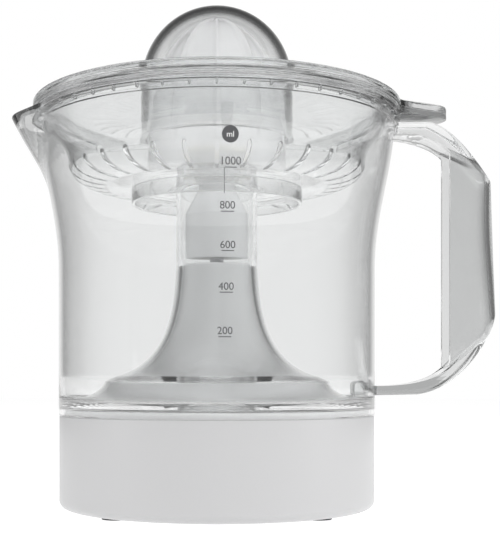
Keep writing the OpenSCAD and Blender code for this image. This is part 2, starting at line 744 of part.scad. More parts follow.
// Lug inside the foot of the wall, behind the handle's strap
module strap_lug() {
    difference() {
        translate([jug_r - 9, -5, z_seat + 3]) cube([8, 10, 8.2]);
        for (y = [-2.5, 0, 2.5]) translate([jug_r - 10, y - 0.5, z_seat + 8]) cube([3, 1, 5]);
    }
}

module jug() {
    color(crystal) difference() {
        union() {
            jug_body();
            strap_lug();
            intersection() {
                around(rim_ribs, 0) translate([jug_r + jug_flare - 1, -0.4, z_rim - 4.6]) cube([2.4, 0.8, 2.3]);
                turned([[jug_r, z_rim - 6], [rim_r - 0.7, z_rim - 4.4], [rim_r - 0.5, z_rim - 2],
                    [jug_r, z_rim - 2]]);
            }
            spout_bulge(0, 0.3, jug_wall / 2, 0);
        }
        spout_bulge(jug_wall, jug_wall + 0.05, jug_wall + 1.5, 2);
    }
}

// Outline of the handle from the side, in X and Z
function handle_outline() = concat(
    curve([[grip_out - 30, bridge_z], [grip_out - 20, bridge_z - 3.8],
        [grip_out - 7, bridge_z - 16.3], [grip_out - 1.9, bridge_z - 26.3]], 10),
    curve([[grip_out, strap_z + 36.8], [grip_out, strap_z + 25.8],
        [grip_out - 18, strap_z + 2.3], [grip_out - 36, strap_z + 0.4]], 12),
    [[jug_r - 1, strap_z], [jug_r - 1, strap_z + strap_t]],
    reversed(curve([[grip_in, strap_z + 12], [grip_in - 6.3, strap_z + 7.3],
        [grip_in - 14.3, strap_z + strap_t], [jug_r, strap_z + strap_t]], 8)),
    reversed(curve([[jug_r + 6, bridge_z - bridge_h], [grip_in - 13.3, bridge_z - bridge_h - 0.8],
        [grip_in - 3.8, bridge_z - bridge_h - 4.7], [grip_in, bridge_z - bridge_h - 9.2]], 8)),
    [[jug_r + 6, bridge_z]]);

module grip_plan(inset) {
    half = grip_w / 2 - inset;
    polygon(concat([[jug_r - 5, -half]],
        arc([grip_out - half - inset + 1.5, 0], half, -90, 90, 16), [[jug_r - 5, half]]));
}

module sideways(width) { rotate([90, 0, 0]) translate([0, 0, -width / 2]) linear_extrude(width) children(); }

module grip_hollow() {
    intersection() {
        sideways(grip_w) polygon([[grip_in - 2, strap_z + 10.5], [grip_in + 1, strap_z + 11],
            [grip_out - 12, strap_z + 17], [grip_out - 6, strap_z + 26.5], [grip_out - 3, strap_z + 38],
            [grip_out - 4.6, bridge_z - 28], [grip_out - 7, bridge_z - 23.5],
            [grip_out - 12.8, bridge_z - 16.5], [grip_in + 1, bridge_z - 11.5], [grip_in - 2, bridge_z - 13]]);
        linear_extrude(z_rim) grip_plan(grip_wall);
    }
    sideways(grip_w - 2 * grip_wall) polygon([[jug_r + 12.5, bridge_z - grip_wall],
        [grip_in - 9, bridge_z - grip_wall], [grip_in - 2, bridge_z - grip_wall - 3.6],
        [grip_in - 4, bridge_z - 15], [jug_r + 12.5, bridge_z - 15]]);
}

module jug_handle() {
    color(crystal) difference() {
        intersection() {
            sideways(grip_w) polygon(handle_outline());
            linear_extrude(z_rim) grip_plan(0);
        }
        grip_hollow();
        turned(concat([[0, 0], [jug_r + tiny, 0]], beside(wall_path, wall_steps, -tiny, -tiny),
            [[rim_r + 0.1, z_rim - 4.8], [rim_r + 0.1, z_rim + 1], [0, z_rim + 1]]));
    }
}

// ---- Strainer, reamer and dust cover ----

module thumb_tab(z0, z1, root) {
    translate([0, 0, z0]) linear_extrude(z1 - z0) hull() {
        translate([tab_x - tab_r, 0]) circle(r = tab_r, $fn = 48);
        translate([root, -tab_half]) square([1, 2 * tab_half]);
    }
}

module strainer_bowl() {
    inside = bowl_upper[0][0] - strainer_wall;
    lower = z_bowl + 0.7 + strainer_wall;
    turned(concat(
        [[inside, z_flange - 0.6], [inside + 0.6, z_flange], [flange_r - 0.5, z_flange],
         [flange_r, z_flange - 0.5], [flange_r, z_rim], [locate_r, z_rim]],
        curve(bowl_upper, bowl_steps), curve(bowl_lower, bowl_steps),
        [[skirt_r, z_bowl], [skirt_r, z_bowl - skirt_h], [skirt_r - 1.6, z_bowl - skirt_h],
         [skirt_r - 1.6, z_bowl], [boss_r - 1.8, z_bowl + 0.5], [boss_r - 8, z_boss - 2.3],
         [chimney_r - chimney_wall, z_boss - 0.5], [chimney_r - chimney_wall, z_chimney],
         [chimney_r, z_chimney], [chimney_r, z_boss], [boss_r - 6.5, z_boss - 0.5], [boss_r, lower]],
        reversed(beside(bowl_lower, bowl_steps, -strainer_wall, -strainer_wall)),
        reversed(beside(bowl_upper, bowl_steps, -strainer_wall, -strainer_wall))));
}

// A slot from the bowl's floor up its corner, with round ends
module juice_slot() {
    end_r = slot_w / 2;
    low = z_bowl - 1;
    high = z_bowl + slot_rise - end_r;
    translate([slot_r + end_r, -end_r, low]) cube([30, slot_w, high - low]);
    translate([slot_r + end_r, 0, low]) cylinder(r = end_r, h = 6, $fn = 24);
    translate([slot_r + 12, 0, high]) rotate([0, 90, 0]) cylinder(r = end_r, h = 18.5, $fn = 24);
}

module strainer() {
    color(crystal) {
        difference() {
            union() {
                strainer_bowl();
                difference() {
                    union() {
                        thumb_tab(z_rim, z_flange, jug_r);
                        thumb_tab(z_rim - 1.9, z_rim + tiny, jug_r);
                    }
                    translate([0, 0, z_rim - 5]) cylinder(r = rim_r + clear, h = 5, $fn = 180);
                    translate([0, 0, z_rim - 1]) cylinder(r = locate_r - 1, h = 10, $fn = 180);
                    translate([0, 0, z_rim - 4.1]) intersection() {
                        translate([0, 0, 1]) cylinder(r = tab_x - 2.4, h = 3.6, $fn = 120);
                        translate([0, 0, -z_rim + 4.1]) thumb_hollow();
                    }
                }
            }
            around(slot_count, 0) juice_slot();
        }
    }
}

module thumb_hollow() {
    translate([0, 0, z_rim - 4]) linear_extrude(4) hull() {
        translate([tab_x - tab_r, 0]) circle(r = tab_r - 2, $fn = 48);
        translate([jug_r + 6, -tab_half + 4]) square([1, 2 * tab_half - 8]);
    }
}

module reamer_bush() { color(nylon) tube(bush_r, chimney_r + running, z_bush, z_bush + bush_h); }

// Inside of the reamer's shell, closed off above the drive socket
module reamer_cavity() {
    inner = [for (p = within(cone_path, cone_steps, reamer_wall)) if (p[0] > socket_r) p];
    turned(concat([[0, z_skirt - 1], [reamer_r - reamer_wall, z_skirt - 1]], inner,
        [[socket_r, inner[len(inner) - 1][1]], [socket_r, z_drive], [0, z_drive]]));
}

module reamer_rib() {
    rotate([90, 0, 0]) translate([0, 0, -rib_w / 2]) linear_extrude(rib_w)
        polygon(concat(curve(rib_path, cone_steps), [[0, z_cone + reamer_h - 6]],
            reversed([for (p = within(cone_path, cone_steps, 1.2)) if (p[0] > 4) p])));
}

module reamer_cone() {
    ring_r = bush_r + running;
    color(frosted) difference() {
        union() {
            difference() {
                turned(concat([[0, z_skirt], [reamer_r - 0.6, z_skirt], [reamer_r, z_skirt + 0.6]],
                    curve(cone_path, cone_steps)));
                reamer_cavity();
            }
            around(reamer_ribs, 0, 90) reamer_rib();
            tube(ring_r + 1.9, ring_r, z_bush - 0.5, z_drive + 2);
            tube(ring_r + 1, spline_r + 1, z_drive, z_drive + 2);
            intersection() {
                around(web_count, 0) translate([ring_r + 1, -web_t / 2, z_bush]) cube([reamer_r, web_t, 22]);
                turned(concat([[0, 0], [reamer_r - 1, 0]], within(cone_path, cone_steps, 1)));
            }
        }
        translate([0, 0, z_drive - 1]) splined(spline_r + socket_gap, spline_key + socket_gap, spline_h + 1.6);
        translate([0, 0, z_drive + spline_h]) cylinder(r = spline_r, h = 1.2, $fn = 64);
    }
}

module dust_cover() {
    lower = reversed(beside(dish_path, dish_steps, cover_wall, cover_wall));
    under = [for (p = lower) if (p[1] < z_flange + 0.2) p];
    color(crystal) {
        turned(concat(
            [[cover_r - 0.4, z_flange], [cover_r, z_flange + 0.4], [cover_r, z_cover - 0.6],
             [cover_r - 0.6, z_cover]],
            curve(dish_path, dish_steps),
            arc([dome_r + 1, z_dish + 1], 1, -90, -180, 3),
            arc([0, dome_z], dome_r, 0, 90, 18),
            arc([0, dome_z], dome_in, 90, 0, 18),
            [[dome_in, z_dish - cover_wall]], under,
            [[under[len(under) - 1][0] + 0.3, z_flange]]));
        difference() {
            thumb_tab(z_flange, z_cover, jug_r);
            translate([0, 0, z_flange - 1]) cylinder(r = cover_r - 1, h = 10, $fn = 180);
        }
    }
}

base_shell();
motor_cover();
bottom_cover();
mount_plate();
cord_spool();
rubber_feet();
housing_screws();
cord_gland();
motor_can();
motor_coil();
gearbox_plate();
gearbox_lid();
gearbox_screws();
idler_pin();
spindle_bushes();
switch_case();
return_spring();
rotor_magnet();
rotor_pinion();
idler_gear();
spindle_carrier();
spindle_rod();
output_gear();
spindle_clip();
drive_hub();
switch_button();
jug();
jug_handle();
strainer();
reamer_bush();
reamer_cone();
dust_cover();
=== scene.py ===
"""Looks of the citrus press juicer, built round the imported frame.

Sizes are in millimetres in the tables and metres in the scene. The origin is on the tower's axis, in the
plane the feet stand on, with the handle along +X and the spout along -X.
"""

import functools
import json
import math

import bmesh
import bpy
from mathutils import Matrix, Vector

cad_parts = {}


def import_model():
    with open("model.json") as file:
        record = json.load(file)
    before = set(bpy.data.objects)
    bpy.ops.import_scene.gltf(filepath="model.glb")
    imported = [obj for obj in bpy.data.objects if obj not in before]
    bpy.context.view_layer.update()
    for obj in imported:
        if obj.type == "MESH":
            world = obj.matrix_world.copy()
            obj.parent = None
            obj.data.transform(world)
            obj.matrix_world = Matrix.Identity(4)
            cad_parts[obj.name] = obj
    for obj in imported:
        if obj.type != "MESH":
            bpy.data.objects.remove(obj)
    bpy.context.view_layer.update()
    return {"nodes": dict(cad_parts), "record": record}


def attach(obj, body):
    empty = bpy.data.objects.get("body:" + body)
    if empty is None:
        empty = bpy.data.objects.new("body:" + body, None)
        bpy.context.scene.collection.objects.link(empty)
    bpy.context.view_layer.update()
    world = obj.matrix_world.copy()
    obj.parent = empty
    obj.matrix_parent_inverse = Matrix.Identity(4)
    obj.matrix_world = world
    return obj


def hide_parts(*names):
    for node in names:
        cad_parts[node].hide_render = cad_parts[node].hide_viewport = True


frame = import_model()

MM = 0.001

# ---- Sizes shared with the frame ----

# Heights, from the floor up.
Z_UNDER = 1.0
Z_STEP = 36.0
Z_SHELL = 41.5
Z_SEAT = 44.2
Z_TOWER = 107.8
Z_HUB = 110.0
Z_SHOULDER = 130.0
Z_STEM = 138.7
Z_TUBE = 143.0
Z_RIB_FOOT = 157.0
Z_DRIVE = 159.0
Z_RIM = 172.7
Z_FLANGE = 175.0
Z_COVER = 178.0
Z_DOME = 189.0
# Radii and walls of the base and tower.
BASE_R = 69.7
BASE_BORE = 67.5
BASE_FILLET = 3.5
DECK_R = 67.2
TOWER_EDGE = 13.9
TOWER_T = 2.2
BEARING_R = 6.02
ROD_BORE = 3.02
# Of the jug.
JUG_R = 70.0
JUG_BORE = 67.6
JUG_T = 2.4
LIP_R = 78.6
RIM_R = 80.9
TUBE_R = 18.1
TUBE_BORE = 16.3
SPOUT_NOSE = 30.0
# Of the strainer and the cover.
LOCATE_R = 75.8
FLANGE_R = 81.0
SIEVE_T = 1.8
COVER_R = 81.2
COVER_T = 1.8
DOME_R = 33.6
DOME_BORE = 31.8
# Curves of (radius, height), each given by its four Bezier points.
FLARE = ((14.9, 107.8), (15.9, 85.0), (20.0, 61.0), (47.4, 55.0))
DECK = ((47.4, 55.0), (50.0, 49.0), (55.0, 46.2), (66.2, 44.6))
WALL = ((70.0, 105.2), (70.0, 128.2), (77.0, 146.0), (78.6, 167.0))
SPOUT = ((74.2, 138.0), (76.5, 150.0), (83.9, 158.0), (91.1, 172.7))
CONE = ((30.5, 158.0), (30.5, 195.0), (19.0, 213.0), (0.0, 218.5))
BOWL_UPPER = [(75.8, 169.7), (72.0, 161.7), (66.4, 161.7), (65.6, 150.7)]
BOWL_LOWER = [(65.6, 150.7), (65.0, 145.5), (58.5, 142.6), (48.0, 142.2)]
DISH = [(73.6, 178.0), (68.8, 170.0), (58.0, 165.3), (41.6, 164.9)]


# ---- Curves ----

def bez(p, t):
    """The point of a Bezier curve at t, from 0 to 1."""
    s = 1 - t
    return tuple(s**3 * a + 3 * s * s * t * b + 3 * s * t * t * c + t**3 * d for a, b, c, d in zip(*p))


def heading(p, t):
    """The direction of a Bezier curve at t."""
    s = 1 - t
    d = Vector([s * s * (b - a) + 2 * s * t * (c - b) + t * t * (e - c) for a, b, c, e in zip(*p)])
    return d.normalized()


def run(p, n, left=0.0, left_end=None):
    """Points along a Bezier curve, moved to its left by an amount that may change on the way."""
    end = left if left_end is None else left_end
    out = []
    for i in range(n + 1):
        t = i / n
        q, u, d = bez(p, t), heading(p, t), left + t * (end - left)
        out.append((q[0] - d * u[1], q[1] + d * u[0]))
    return out


def arc(cx, cy, r, start, stop, n):
    """Points on a circle, from one angle in degrees to another."""
    angles = [math.radians(start + (stop - start) * i / n) for i in range(n + 1)]
    return [(cx + r * math.cos(a), cy + r * math.sin(a)) for a in angles]


def rounded(points, n=4):
    """The same open outline with an arc at each point that has a third value, its radius."""
    out = []
    count = len(points)
    for i, p in enumerate(points):
        r = p[2] if len(p) > 2 else 0
        if r <= 0 or i in (0, count - 1):
            out.append((p[0], p[1]))
            continue
        before, here, after = (Vector(points[j][:2]) for j in (i - 1, i, i + 1))
        u, v = before - here, after - here
        half = u.angle(v) / 2
        reach = min(r / math.tan(half), u.length * 0.49, v.length * 0.49)
        r = reach * math.tan(half)
        centre = here + (u.normalized() + v.normalized()).normalized() * (r / math.sin(half))
        s = here + u.normalized() * reach - centre
        e = here + v.normalized() * reach - centre
        turn = s.angle(e)
        for k in range(n + 1):
            f = k / n
            d = (s * math.sin((1 - f) * turn) + e * math.sin(f * turn)) / math.sin(turn)
            out.append(tuple(centre + d))
    return out


def halve(test, low=0.0, high=1.0, steps=24):
    """The value where test turns from true to false."""
    for _ in range(steps):
        mid = (low + high) / 2
        if test(mid):
            low = mid
        else:
            high = mid
    return (low + high) / 2


@functools.lru_cache(maxsize=None)
def level(curve, z):
    """Where along a curve, from 0 to 1, its height is z."""
    return halve(lambda t: bez(curve, t)[1] < z)


def wall_at(z):
    """Radius of the jug's outside at height z."""
    if z <= WALL[0][1]:
        return JUG_R
    if z >= WALL[3][1]:
        return LIP_R
    return bez(WALL, level(WALL, z))[0]


def spout_at(z):
    """How far from the axis the spout's tip reaches at height z."""
    return bez(SPOUT, level(SPOUT, z))[0]


def spout_edge(tip, body, nose, a):
    """Reach of the spout's plan at an angle from it: body circle, straight side, nose circle."""
    reach = tip - nose
    if reach <= body - nose:
        return body
    turn = math.acos((body - nose) / reach)
    nose_end = math.atan2(nose * math.sin(turn), reach + nose * math.cos(turn))
    b = abs(a)
    if b >= turn:
        return body
    if b > nose_end:
        return body / math.cos(turn - b)
    return reach * math.cos(b) + math.sqrt(max(0, nose**2 - (reach * math.sin(b)) ** 2))


# ---- Building pieces ----

def mesh_of(name, bm):
    """The finished mesh of a bmesh, which is freed."""
    mesh = bpy.data.meshes.new(name)
    bm.to_mesh(mesh)
    bm.free()
    return mesh


def add(name, data):
    """A new object in the scene."""
    obj = bpy.data.objects.new(name, data)
    bpy.context.scene.collection.objects.link(obj)
    return obj


def piece(name, bm, material, body, replaces=(), sharp=38):
    """A finished piece, smooth but for edges sharper than the given degrees, that rides on a body."""
    bmesh.ops.recalc_face_normals(bm, faces=bm.faces)
    mesh = mesh_of(name, bm)
    mesh.polygons.foreach_set("use_smooth", [True] * len(mesh.polygons))
    mesh.set_sharp_from_angle(angle=math.radians(sharp))
    obj = add(name, mesh)
    mesh.materials.append(material)
    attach(obj, body)
    if replaces:
        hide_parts(*replaces)
    return obj


def spin(bm, profile, steps=240, parts=12):
    """Turns an outline of (radius, height) round Z: one sector is spun, the others are its copies."""
    vs = [bm.verts.new((r * MM, 0, z * MM)) for r, z in profile]
    pairs = list(zip(vs, vs[1:] + vs[:1]))
    es = [bm.edges.new(p) for p in pairs if p[0].co.x > 1e-7 or p[1].co.x > 1e-7]
    old = set(bm.verts) - set(vs)
    sector = math.tau / parts
    bmesh.ops.spin(
        bm, geom=vs + es, cent=(0, 0, 0), axis=(0, 0, 1), angle=sector, steps=steps // parts, use_merge=False
    )
    first = [v for v in bm.verts if v not in old]
    faces = list({f for v in first for f in v.link_faces})
    edges = list({e for f in faces for e in f.edges})
    made = list(first)
    for k in range(1, parts):
        copy = bmesh.ops.duplicate(bm, geom=first + edges + faces)["geom"]
        turned_on = [g for g in copy if isinstance(g, bmesh.types.BMVert)]
        bmesh.ops.rotate(bm, verts=turned_on, cent=(0, 0, 0), matrix=Matrix.Rotation(k * sector, 3, "Z"))
        made += turned_on
    bmesh.ops.remove_doubles(bm, verts=made, dist=2e-6)
    for e in [e for e in bm.edges if not e.link_faces]:
        bm.edges.remove(e)
    for v in [v for v in bm.verts if not v.link_edges]:
        bm.verts.remove(v)


def turned(name, profile, material, body, replaces=()):
    """A piece that is one outline turned round Z."""
    bm = bmesh.new()
    spin(bm, profile)
    return piece(name, bm, material, body, replaces)


def polar(v):
    """Radius, angle and height of a vertex."""
    return math.hypot(v.co.x, v.co.y) / MM, math.atan2(v.co.y, v.co.x), round(v.co.z / MM, 3)


def place(v, r, a, z):
    """Moves a vertex to a radius, angle and height."""
    v.co = (r * math.cos(a) * MM, r * math.sin(a) * MM, z * MM)


def swung(outline, a):
    """An outline turned by an angle round the axis."""
    return [(x * math.cos(a) - y * math.sin(a), x * math.sin(a) + y * math.cos(a)) for x, y in outline]


def extruded(bm, outline, low, high, axis="z"):
    """A prism of an outline in the plane across the axis, into bm. Returns its faces."""
    put = {"z": lambda a, b, c: (a, b, c), "y": lambda a, b, c: (a, c, b)}[axis]
    vs = [bm.verts.new([k * MM for k in put(a, b, low)]) for a, b in outline]
    face = bm.faces.new(vs)
    out = bmesh.ops.extrude_face_region(bm, geom=[face])
    moved = [g for g in out["geom"] if isinstance(g, bmesh.types.BMVert)]
    along = Vector([k * MM for k in put(0, 0, high - low)])
    bmesh.ops.translate(bm, verts=moved, vec=along)
    faces = {f for v in vs + moved for f in v.link_faces}
    return list(faces)


def soften(bm, faces, width, segments=2, angle=30):
    """Bevels the edges between faces that meet at more than the given degrees."""
    edges = {
        e for f in faces for e in f.edges
        if len(e.link_faces) == 2 and e.calc_face_angle(0) > math.radians(angle)
    }
    bmesh.ops.bevel(
        bm, geom=list(edges), offset=width * MM, segments=segments, profile=0.5, affect="EDGES", material=-1
    )


def tab_outline(reach, nose, root, half, n=24):
    """Plan of a thumb tab: a wide root and a round nose, joined by tangents."""
    centre = Vector((reach - nose, 0))
    corner = Vector((root, half))
    to = corner - centre
    lean = math.atan2(to.y, to.x) - math.acos(nose / to.length)
    top = arc(centre.x, 0, nose, math.degrees(-lean), math.degrees(lean), n)
    return [(root, -half)] + top + [(root, half)]


def ray_out(outline, a):
    """How far out an outline reaches along the direction a from the origin, or 0."""
    best = 0.0
    d = (math.cos(a), math.sin(a))
    for (x0, y0), (x1, y1) in zip(outline, outline[1:]):
        ex, ey = x1 - x0, y1 - y0
        cross = d[0] * ey - d[1] * ex
        if abs(cross) < 1e-9:
            continue
        far = (x0 * ey - y0 * ex) / cross
        along = (x0 * d[1] - y0 * d[0]) / cross
        if -1e-9 <= along <= 1 + 1e-9 and far > best:
            best = far
    return best


def smooth_max(a, b, k):
    """The larger of two lengths, blended where they differ by less than k."""
    h = max(k - abs(a - b), 0) / k
    return max(a, b) + h * h * k / 4


# ---- Shared effects ----

def group(name, inputs, outputs):
    """An empty node group with its sockets, and its input and output nodes."""
    g = bpy.data.node_groups.new(name, "ShaderNodeTree")
    for label, kind, value in inputs:
        s = g.interface.new_socket(label, in_out="INPUT", socket_type=kind)
        s.default_value = value
    for label, kind in outputs:
        g.interface.new_socket(label, in_out="OUTPUT", socket_type=kind)
    return g, g.nodes.new("NodeGroupInput"), g.nodes.new("NodeGroupOutput")


def link(tree, a, b):
    tree.links.new(a, b)


def make_grain():
    """Fine grain of a moulding or a cut surface: a mask and a bumped normal from object coordinates."""
    g, gin, gout = group(
        "grain",
        [("Scale", "NodeSocketFloat", 900.0), ("Depth", "NodeSocketFloat", 0.1),
         ("Stretch", "NodeSocketFloat", 1.0)],
        [("Mask", "NodeSocketFloat"), ("Normal", "NodeSocketVector")],
    )
    at = g.nodes.new("ShaderNodeTexCoord")
    pull = g.nodes.new("ShaderNodeVectorMath")
    pull.operation = "MULTIPLY"
    both = g.nodes.new("ShaderNodeCombineXYZ")
    both.inputs[0].default_value = 1.0
    both.inputs[1].default_value = 1.0
    link(g, gin.outputs["Stretch"], both.inputs[2])
    link(g, at.outputs["Object"], pull.inputs[0])
    link(g, both.outputs[0], pull.inputs[1])
    noise = g.nodes.new("ShaderNodeTexNoise")
    noise.inputs["Detail"].default_value = 3.0
    noise.inputs["Roughness"].default_value = 0.55
    link(g, pull.outputs[0], noise.inputs["Vector"])
    link(g, gin.outputs["Scale"], noise.inputs["Scale"])
    bump = g.nodes.new("ShaderNodeBump")
    bump.inputs["Distance"].default_value = 0.0001
    link(g, gin.outputs["Depth"], bump.inputs["Strength"])
    link(g, noise.outputs["Fac"], bump.inputs["Height"])
    link(g, noise.outputs["Fac"], gout.inputs["Mask"])
    link(g, bump.outputs["Normal"], gout.inputs["Normal"])
    return g


def make_tint():
    """Two colours mixed by a mask, so that no surface is one flat colour."""
    g, gin, gout = group(
        "tint",
        [("Mask", "NodeSocketFloat", 0.5), ("Low", "NodeSocketColor", (0.5, 0.5, 0.5, 1)),
         ("High", "NodeSocketColor", (0.6, 0.6, 0.6, 1))],
        [("Color", "NodeSocketColor")],
    )
    mix = g.nodes.new("ShaderNodeMix")
    mix.data_type = "RGBA"
    link(g, gin.outputs["Mask"], mix.inputs["Factor"])
    link(g, gin.outputs["Low"], mix.inputs[6])
    link(g, gin.outputs["High"], mix.inputs[7])
    link(g, mix.outputs[2], gout.inputs["Color"])
    return g


GRAIN = make_grain()
TINT = make_tint()


def use(tree, g, **values):
    """Places a node group in a material with its own values."""
    n = tree.nodes.new("ShaderNodeGroup")
    n.node_tree = g
    for k, v in values.items():
        n.inputs[k].default_value = v
    return n


def principled(m):
    """A material's Principled node."""
    return next(n for n in m.node_tree.nodes if n.type == "BSDF_PRINCIPLED")


def surface(name, low, high, rough=(0.3, 0.4), grain=900.0, depth=0.1, stretch=1.0, **constants):
    """A Principled material whose colour, roughness and normal come from the shared grain."""
    m = bpy.data.materials.new(name)
    m.use_nodes = True
    t = m.node_tree
    p = principled(m)
    g = use(t, GRAIN, Scale=grain, Depth=depth, Stretch=stretch)
    c = use(t, TINT, Low=(*low, 1), High=(*high, 1))
    link(t, g.outputs["Mask"], c.inputs["Mask"])
    link(t, c.outputs["Color"], p.inputs["Base Color"])
    spread = t.nodes.new("ShaderNodeMapRange")
    spread.inputs["To Min"].default_value = rough[0]
    spread.inputs["To Max"].default_value = rough[1]
    link(t, g.outputs["Mask"], spread.inputs["Value"])
    link(t, spread.outputs["Result"], p.inputs["Roughness"])
    link(t, g.outputs["Normal"], p.inputs["Normal"])
    for k, v in constants.items():
        p.inputs[k.replace("_", " ")].default_value = v
    return m


CLEAR_IOR = 1.49


def clear(name, low, high, rough=(0.0, 0.04), grain=60.0, depth=0.02, pass_on=1.0):
    """Clear plastic that lets lamp light through to what is behind it."""
    m = surface(name, low, high, rough, grain, depth, Transmission_Weight=pass_on, IOR=CLEAR_IOR)
    t = m.node_tree
    p = principled(m)
    out = next(n for n in t.nodes if n.type == "OUTPUT_MATERIAL")
    rays = t.nodes.new("ShaderNodeLightPath")
    through = t.nodes.new("ShaderNodeBsdfTransparent")
    through.inputs["Color"].default_value = (*[math.sqrt(0.5 * (a + b)) for a, b in zip(low, high)], 1)
    mix = t.nodes.new("ShaderNodeMixShader")
    link(t, rays.outputs["Is Shadow Ray"], mix.inputs[0])
    link(t, p.outputs[0], mix.inputs[1])
    link(t, through.outputs[0], mix.inputs[2])
    link(t, mix.outputs[0], out.inputs["Surface"])
    return m


def shade_edge_on(m, start, end, grey):
    """Painted shade: darkens a clear material where it is seen edge-on. The longer way through plastic there
    darkens it a little too; the rest is painted.
    """
    t = m.node_tree
    p = principled(m)
    plain = p.inputs["Base Color"].links[0].from_socket
    edge = t.nodes.new("ShaderNodeLayerWeight")
    edge.inputs["Blend"].default_value = 0.5
    spread = t.nodes.new("ShaderNodeMapRange")
    spread.inputs["From Min"].default_value = start
    spread.inputs["From Max"].default_value = end
    link(t, edge.outputs["Facing"], spread.inputs["Value"])
    c = use(t, TINT, High=(grey, grey, grey, 1))
    link(t, spread.outputs["Result"], c.inputs["Mask"])
    link(t, plain, c.inputs["Low"])
    link(t, c.outputs["Color"], p.inputs["Base Color"])
    return m


# Painted shade: the base's wall is the white plastic of the tower, given a darker copy of it.
SHELL = surface("base_white_painted_shade", (0.52, 0.52, 0.525), (0.54, 0.54, 0.545), (0.3, 0.38), 1400.0, 0.03)
WHITE = surface("white_plastic", (0.86, 0.86, 0.865), (0.89, 0.89, 0.895), (0.22, 0.3), 1400.0, 0.03)
# Painted shade at the edges of the clear plastic: down to 0.72 edge-on for the jug and the rest, partly for
# the longer way through the wall, and down to 0.1 for the dome, a painted dark arc.
CLEAR = shade_edge_on(clear("clear_plastic", (0.935, 0.94, 0.94), (0.95, 0.955, 0.955)), 0.4, 1.0, 0.72)
DOME = shade_edge_on(clear("dome_painted_edge_shade", (0.935, 0.94, 0.94), (0.95, 0.955, 0.955)), 0.58, 0.74, 0.1)
# Painted shade: a darker copy of the clear plastic for the spout, standing partly for the longer way through
# its bent wall.
SPOUT_SHADE = clear("spout_painted_shade", (0.58, 0.585, 0.585), (0.6, 0.605, 0.605))
# Painted shade: a darker copy of the clear plastic for the handle's grip.
GRIP = clear("grip_painted_shade", (0.78, 0.785, 0.785), (0.8, 0.805, 0.805))
# Painted shade: a much darker copy of the clear plastic for the handle's strap, standing partly for its
# thickness.
STRAP = clear("strap_painted_shade", (0.44, 0.445, 0.445), (0.46, 0.465, 0.465))
# Painted shade: a darker copy of the clear plastic for the thumb tabs, standing partly for their two layers.
TAB_SHADE = clear("tab_painted_shade", (0.68, 0.685, 0.685), (0.7, 0.705, 0.705), pass_on=0.85)
FROST = clear(
    "frosted_plastic", (0.975, 0.975, 0.98), (0.99, 0.99, 0.992), (0.12, 0.2), 300.0, 0.05, pass_on=0.6
)
RUBBER = surface("black_rubber", (0.02, 0.02, 0.022), (0.045, 0.045, 0.05), (0.7, 0.85), 2500.0, 0.3)
STEEL = surface("steel", (0.5, 0.5, 0.52), (0.66, 0.66, 0.68), (0.25, 0.42), 1200.0, 0.1, 0.2, Metallic=1.0)
COPPER = surface(
    "copper_wire", (0.6, 0.27, 0.12), (0.8, 0.42, 0.24), (0.3, 0.45), 600.0, 0.4, 9.0, Metallic=1.0
)
BRONZE = surface("bronze", (0.5, 0.36, 0.18), (0.68, 0.5, 0.28), (0.4, 0.55), 3000.0, 0.3, Metallic=1.0)
FERRITE = surface("ferrite", (0.05, 0.05, 0.055), (0.1, 0.1, 0.105), (0.5, 0.65), 1800.0, 0.3)
NYLON = surface("nylon", (0.78, 0.75, 0.64), (0.86, 0.83, 0.73), (0.4, 0.5), 1000.0, 0.05)
BLACK = surface("black_plastic", (0.03, 0.03, 0.033), (0.05, 0.05, 0.054), (0.4, 0.5), 1500.0, 0.1)
RED = surface("red_plastic", (0.5, 0.03, 0.02), (0.66, 0.06, 0.05), (0.3, 0.4), 1500.0, 0.05)
INK = surface("print_ink", (0.06, 0.06, 0.065), (0.1, 0.1, 0.105), (0.5, 0.6), 2000.0, 0.02)
CHALK = surface("print_white", (0.8, 0.8, 0.8), (0.86, 0.86, 0.86), (0.5, 0.6), 2000.0, 0.02)

BY_SLOT = {
    "white_plastic": WHITE, "clear_plastic": CLEAR, "frosted_plastic": FROST, "black_rubber": RUBBER,
    "steel": STEEL, "copper_wire": COPPER, "bronze": BRONZE, "ferrite": FERRITE, "nylon": NYLON,
    "black_plastic": BLACK, "red_plastic": RED,
}
SLOT_OF = {s["node"]: s["material_slot"] for s in frame["record"]["subparts"]}
for node, obj in frame["nodes"].items():
    obj.data.materials.clear()
    obj.data.materials.append(BY_SLOT[SLOT_OF[node]])


def shade_faces(obj, material, chosen):
    """Gives one more material to the faces that are chosen by radius, angle and height of their centre. Each
    use here gives a darker, painted-shade copy of the clear plastic.
    """
    obj.data.materials.append(material)
    last = len(obj.data.materials) - 1
    for f in obj.data.polygons:
        x, y, z = f.center / MM
        if chosen(math.hypot(x, y), math.atan2(y, x), z):
            f.material_index = last
    return obj


# ---- Base ----

def base_shell():
    """The base's wall, with its inner step and the seat of the floor plate."""
    outline = arc(BASE_R - BASE_FILLET, Z_UNDER + BASE_FILLET, BASE_FILLET, -84, 0, 12)
    outline += rounded([(BASE_R, 30.0), (BASE_R, Z_SHELL, 0.8), (BASE_BORE, Z_SHELL), (BASE_BORE, Z_STEP),
                        (65.7, Z_STEP), (BASE_BORE, 32.4), (BASE_BORE, 6.2), (64.9, 6.2), (64.9, 4.6),
                        (66.2, 4.6), (66.2, Z_UNDER)])
    # The wall takes the darker, painted-shade copy of the white plastic.
    return turned("base_wall", outline, SHELL, "base", ("base_shell",))


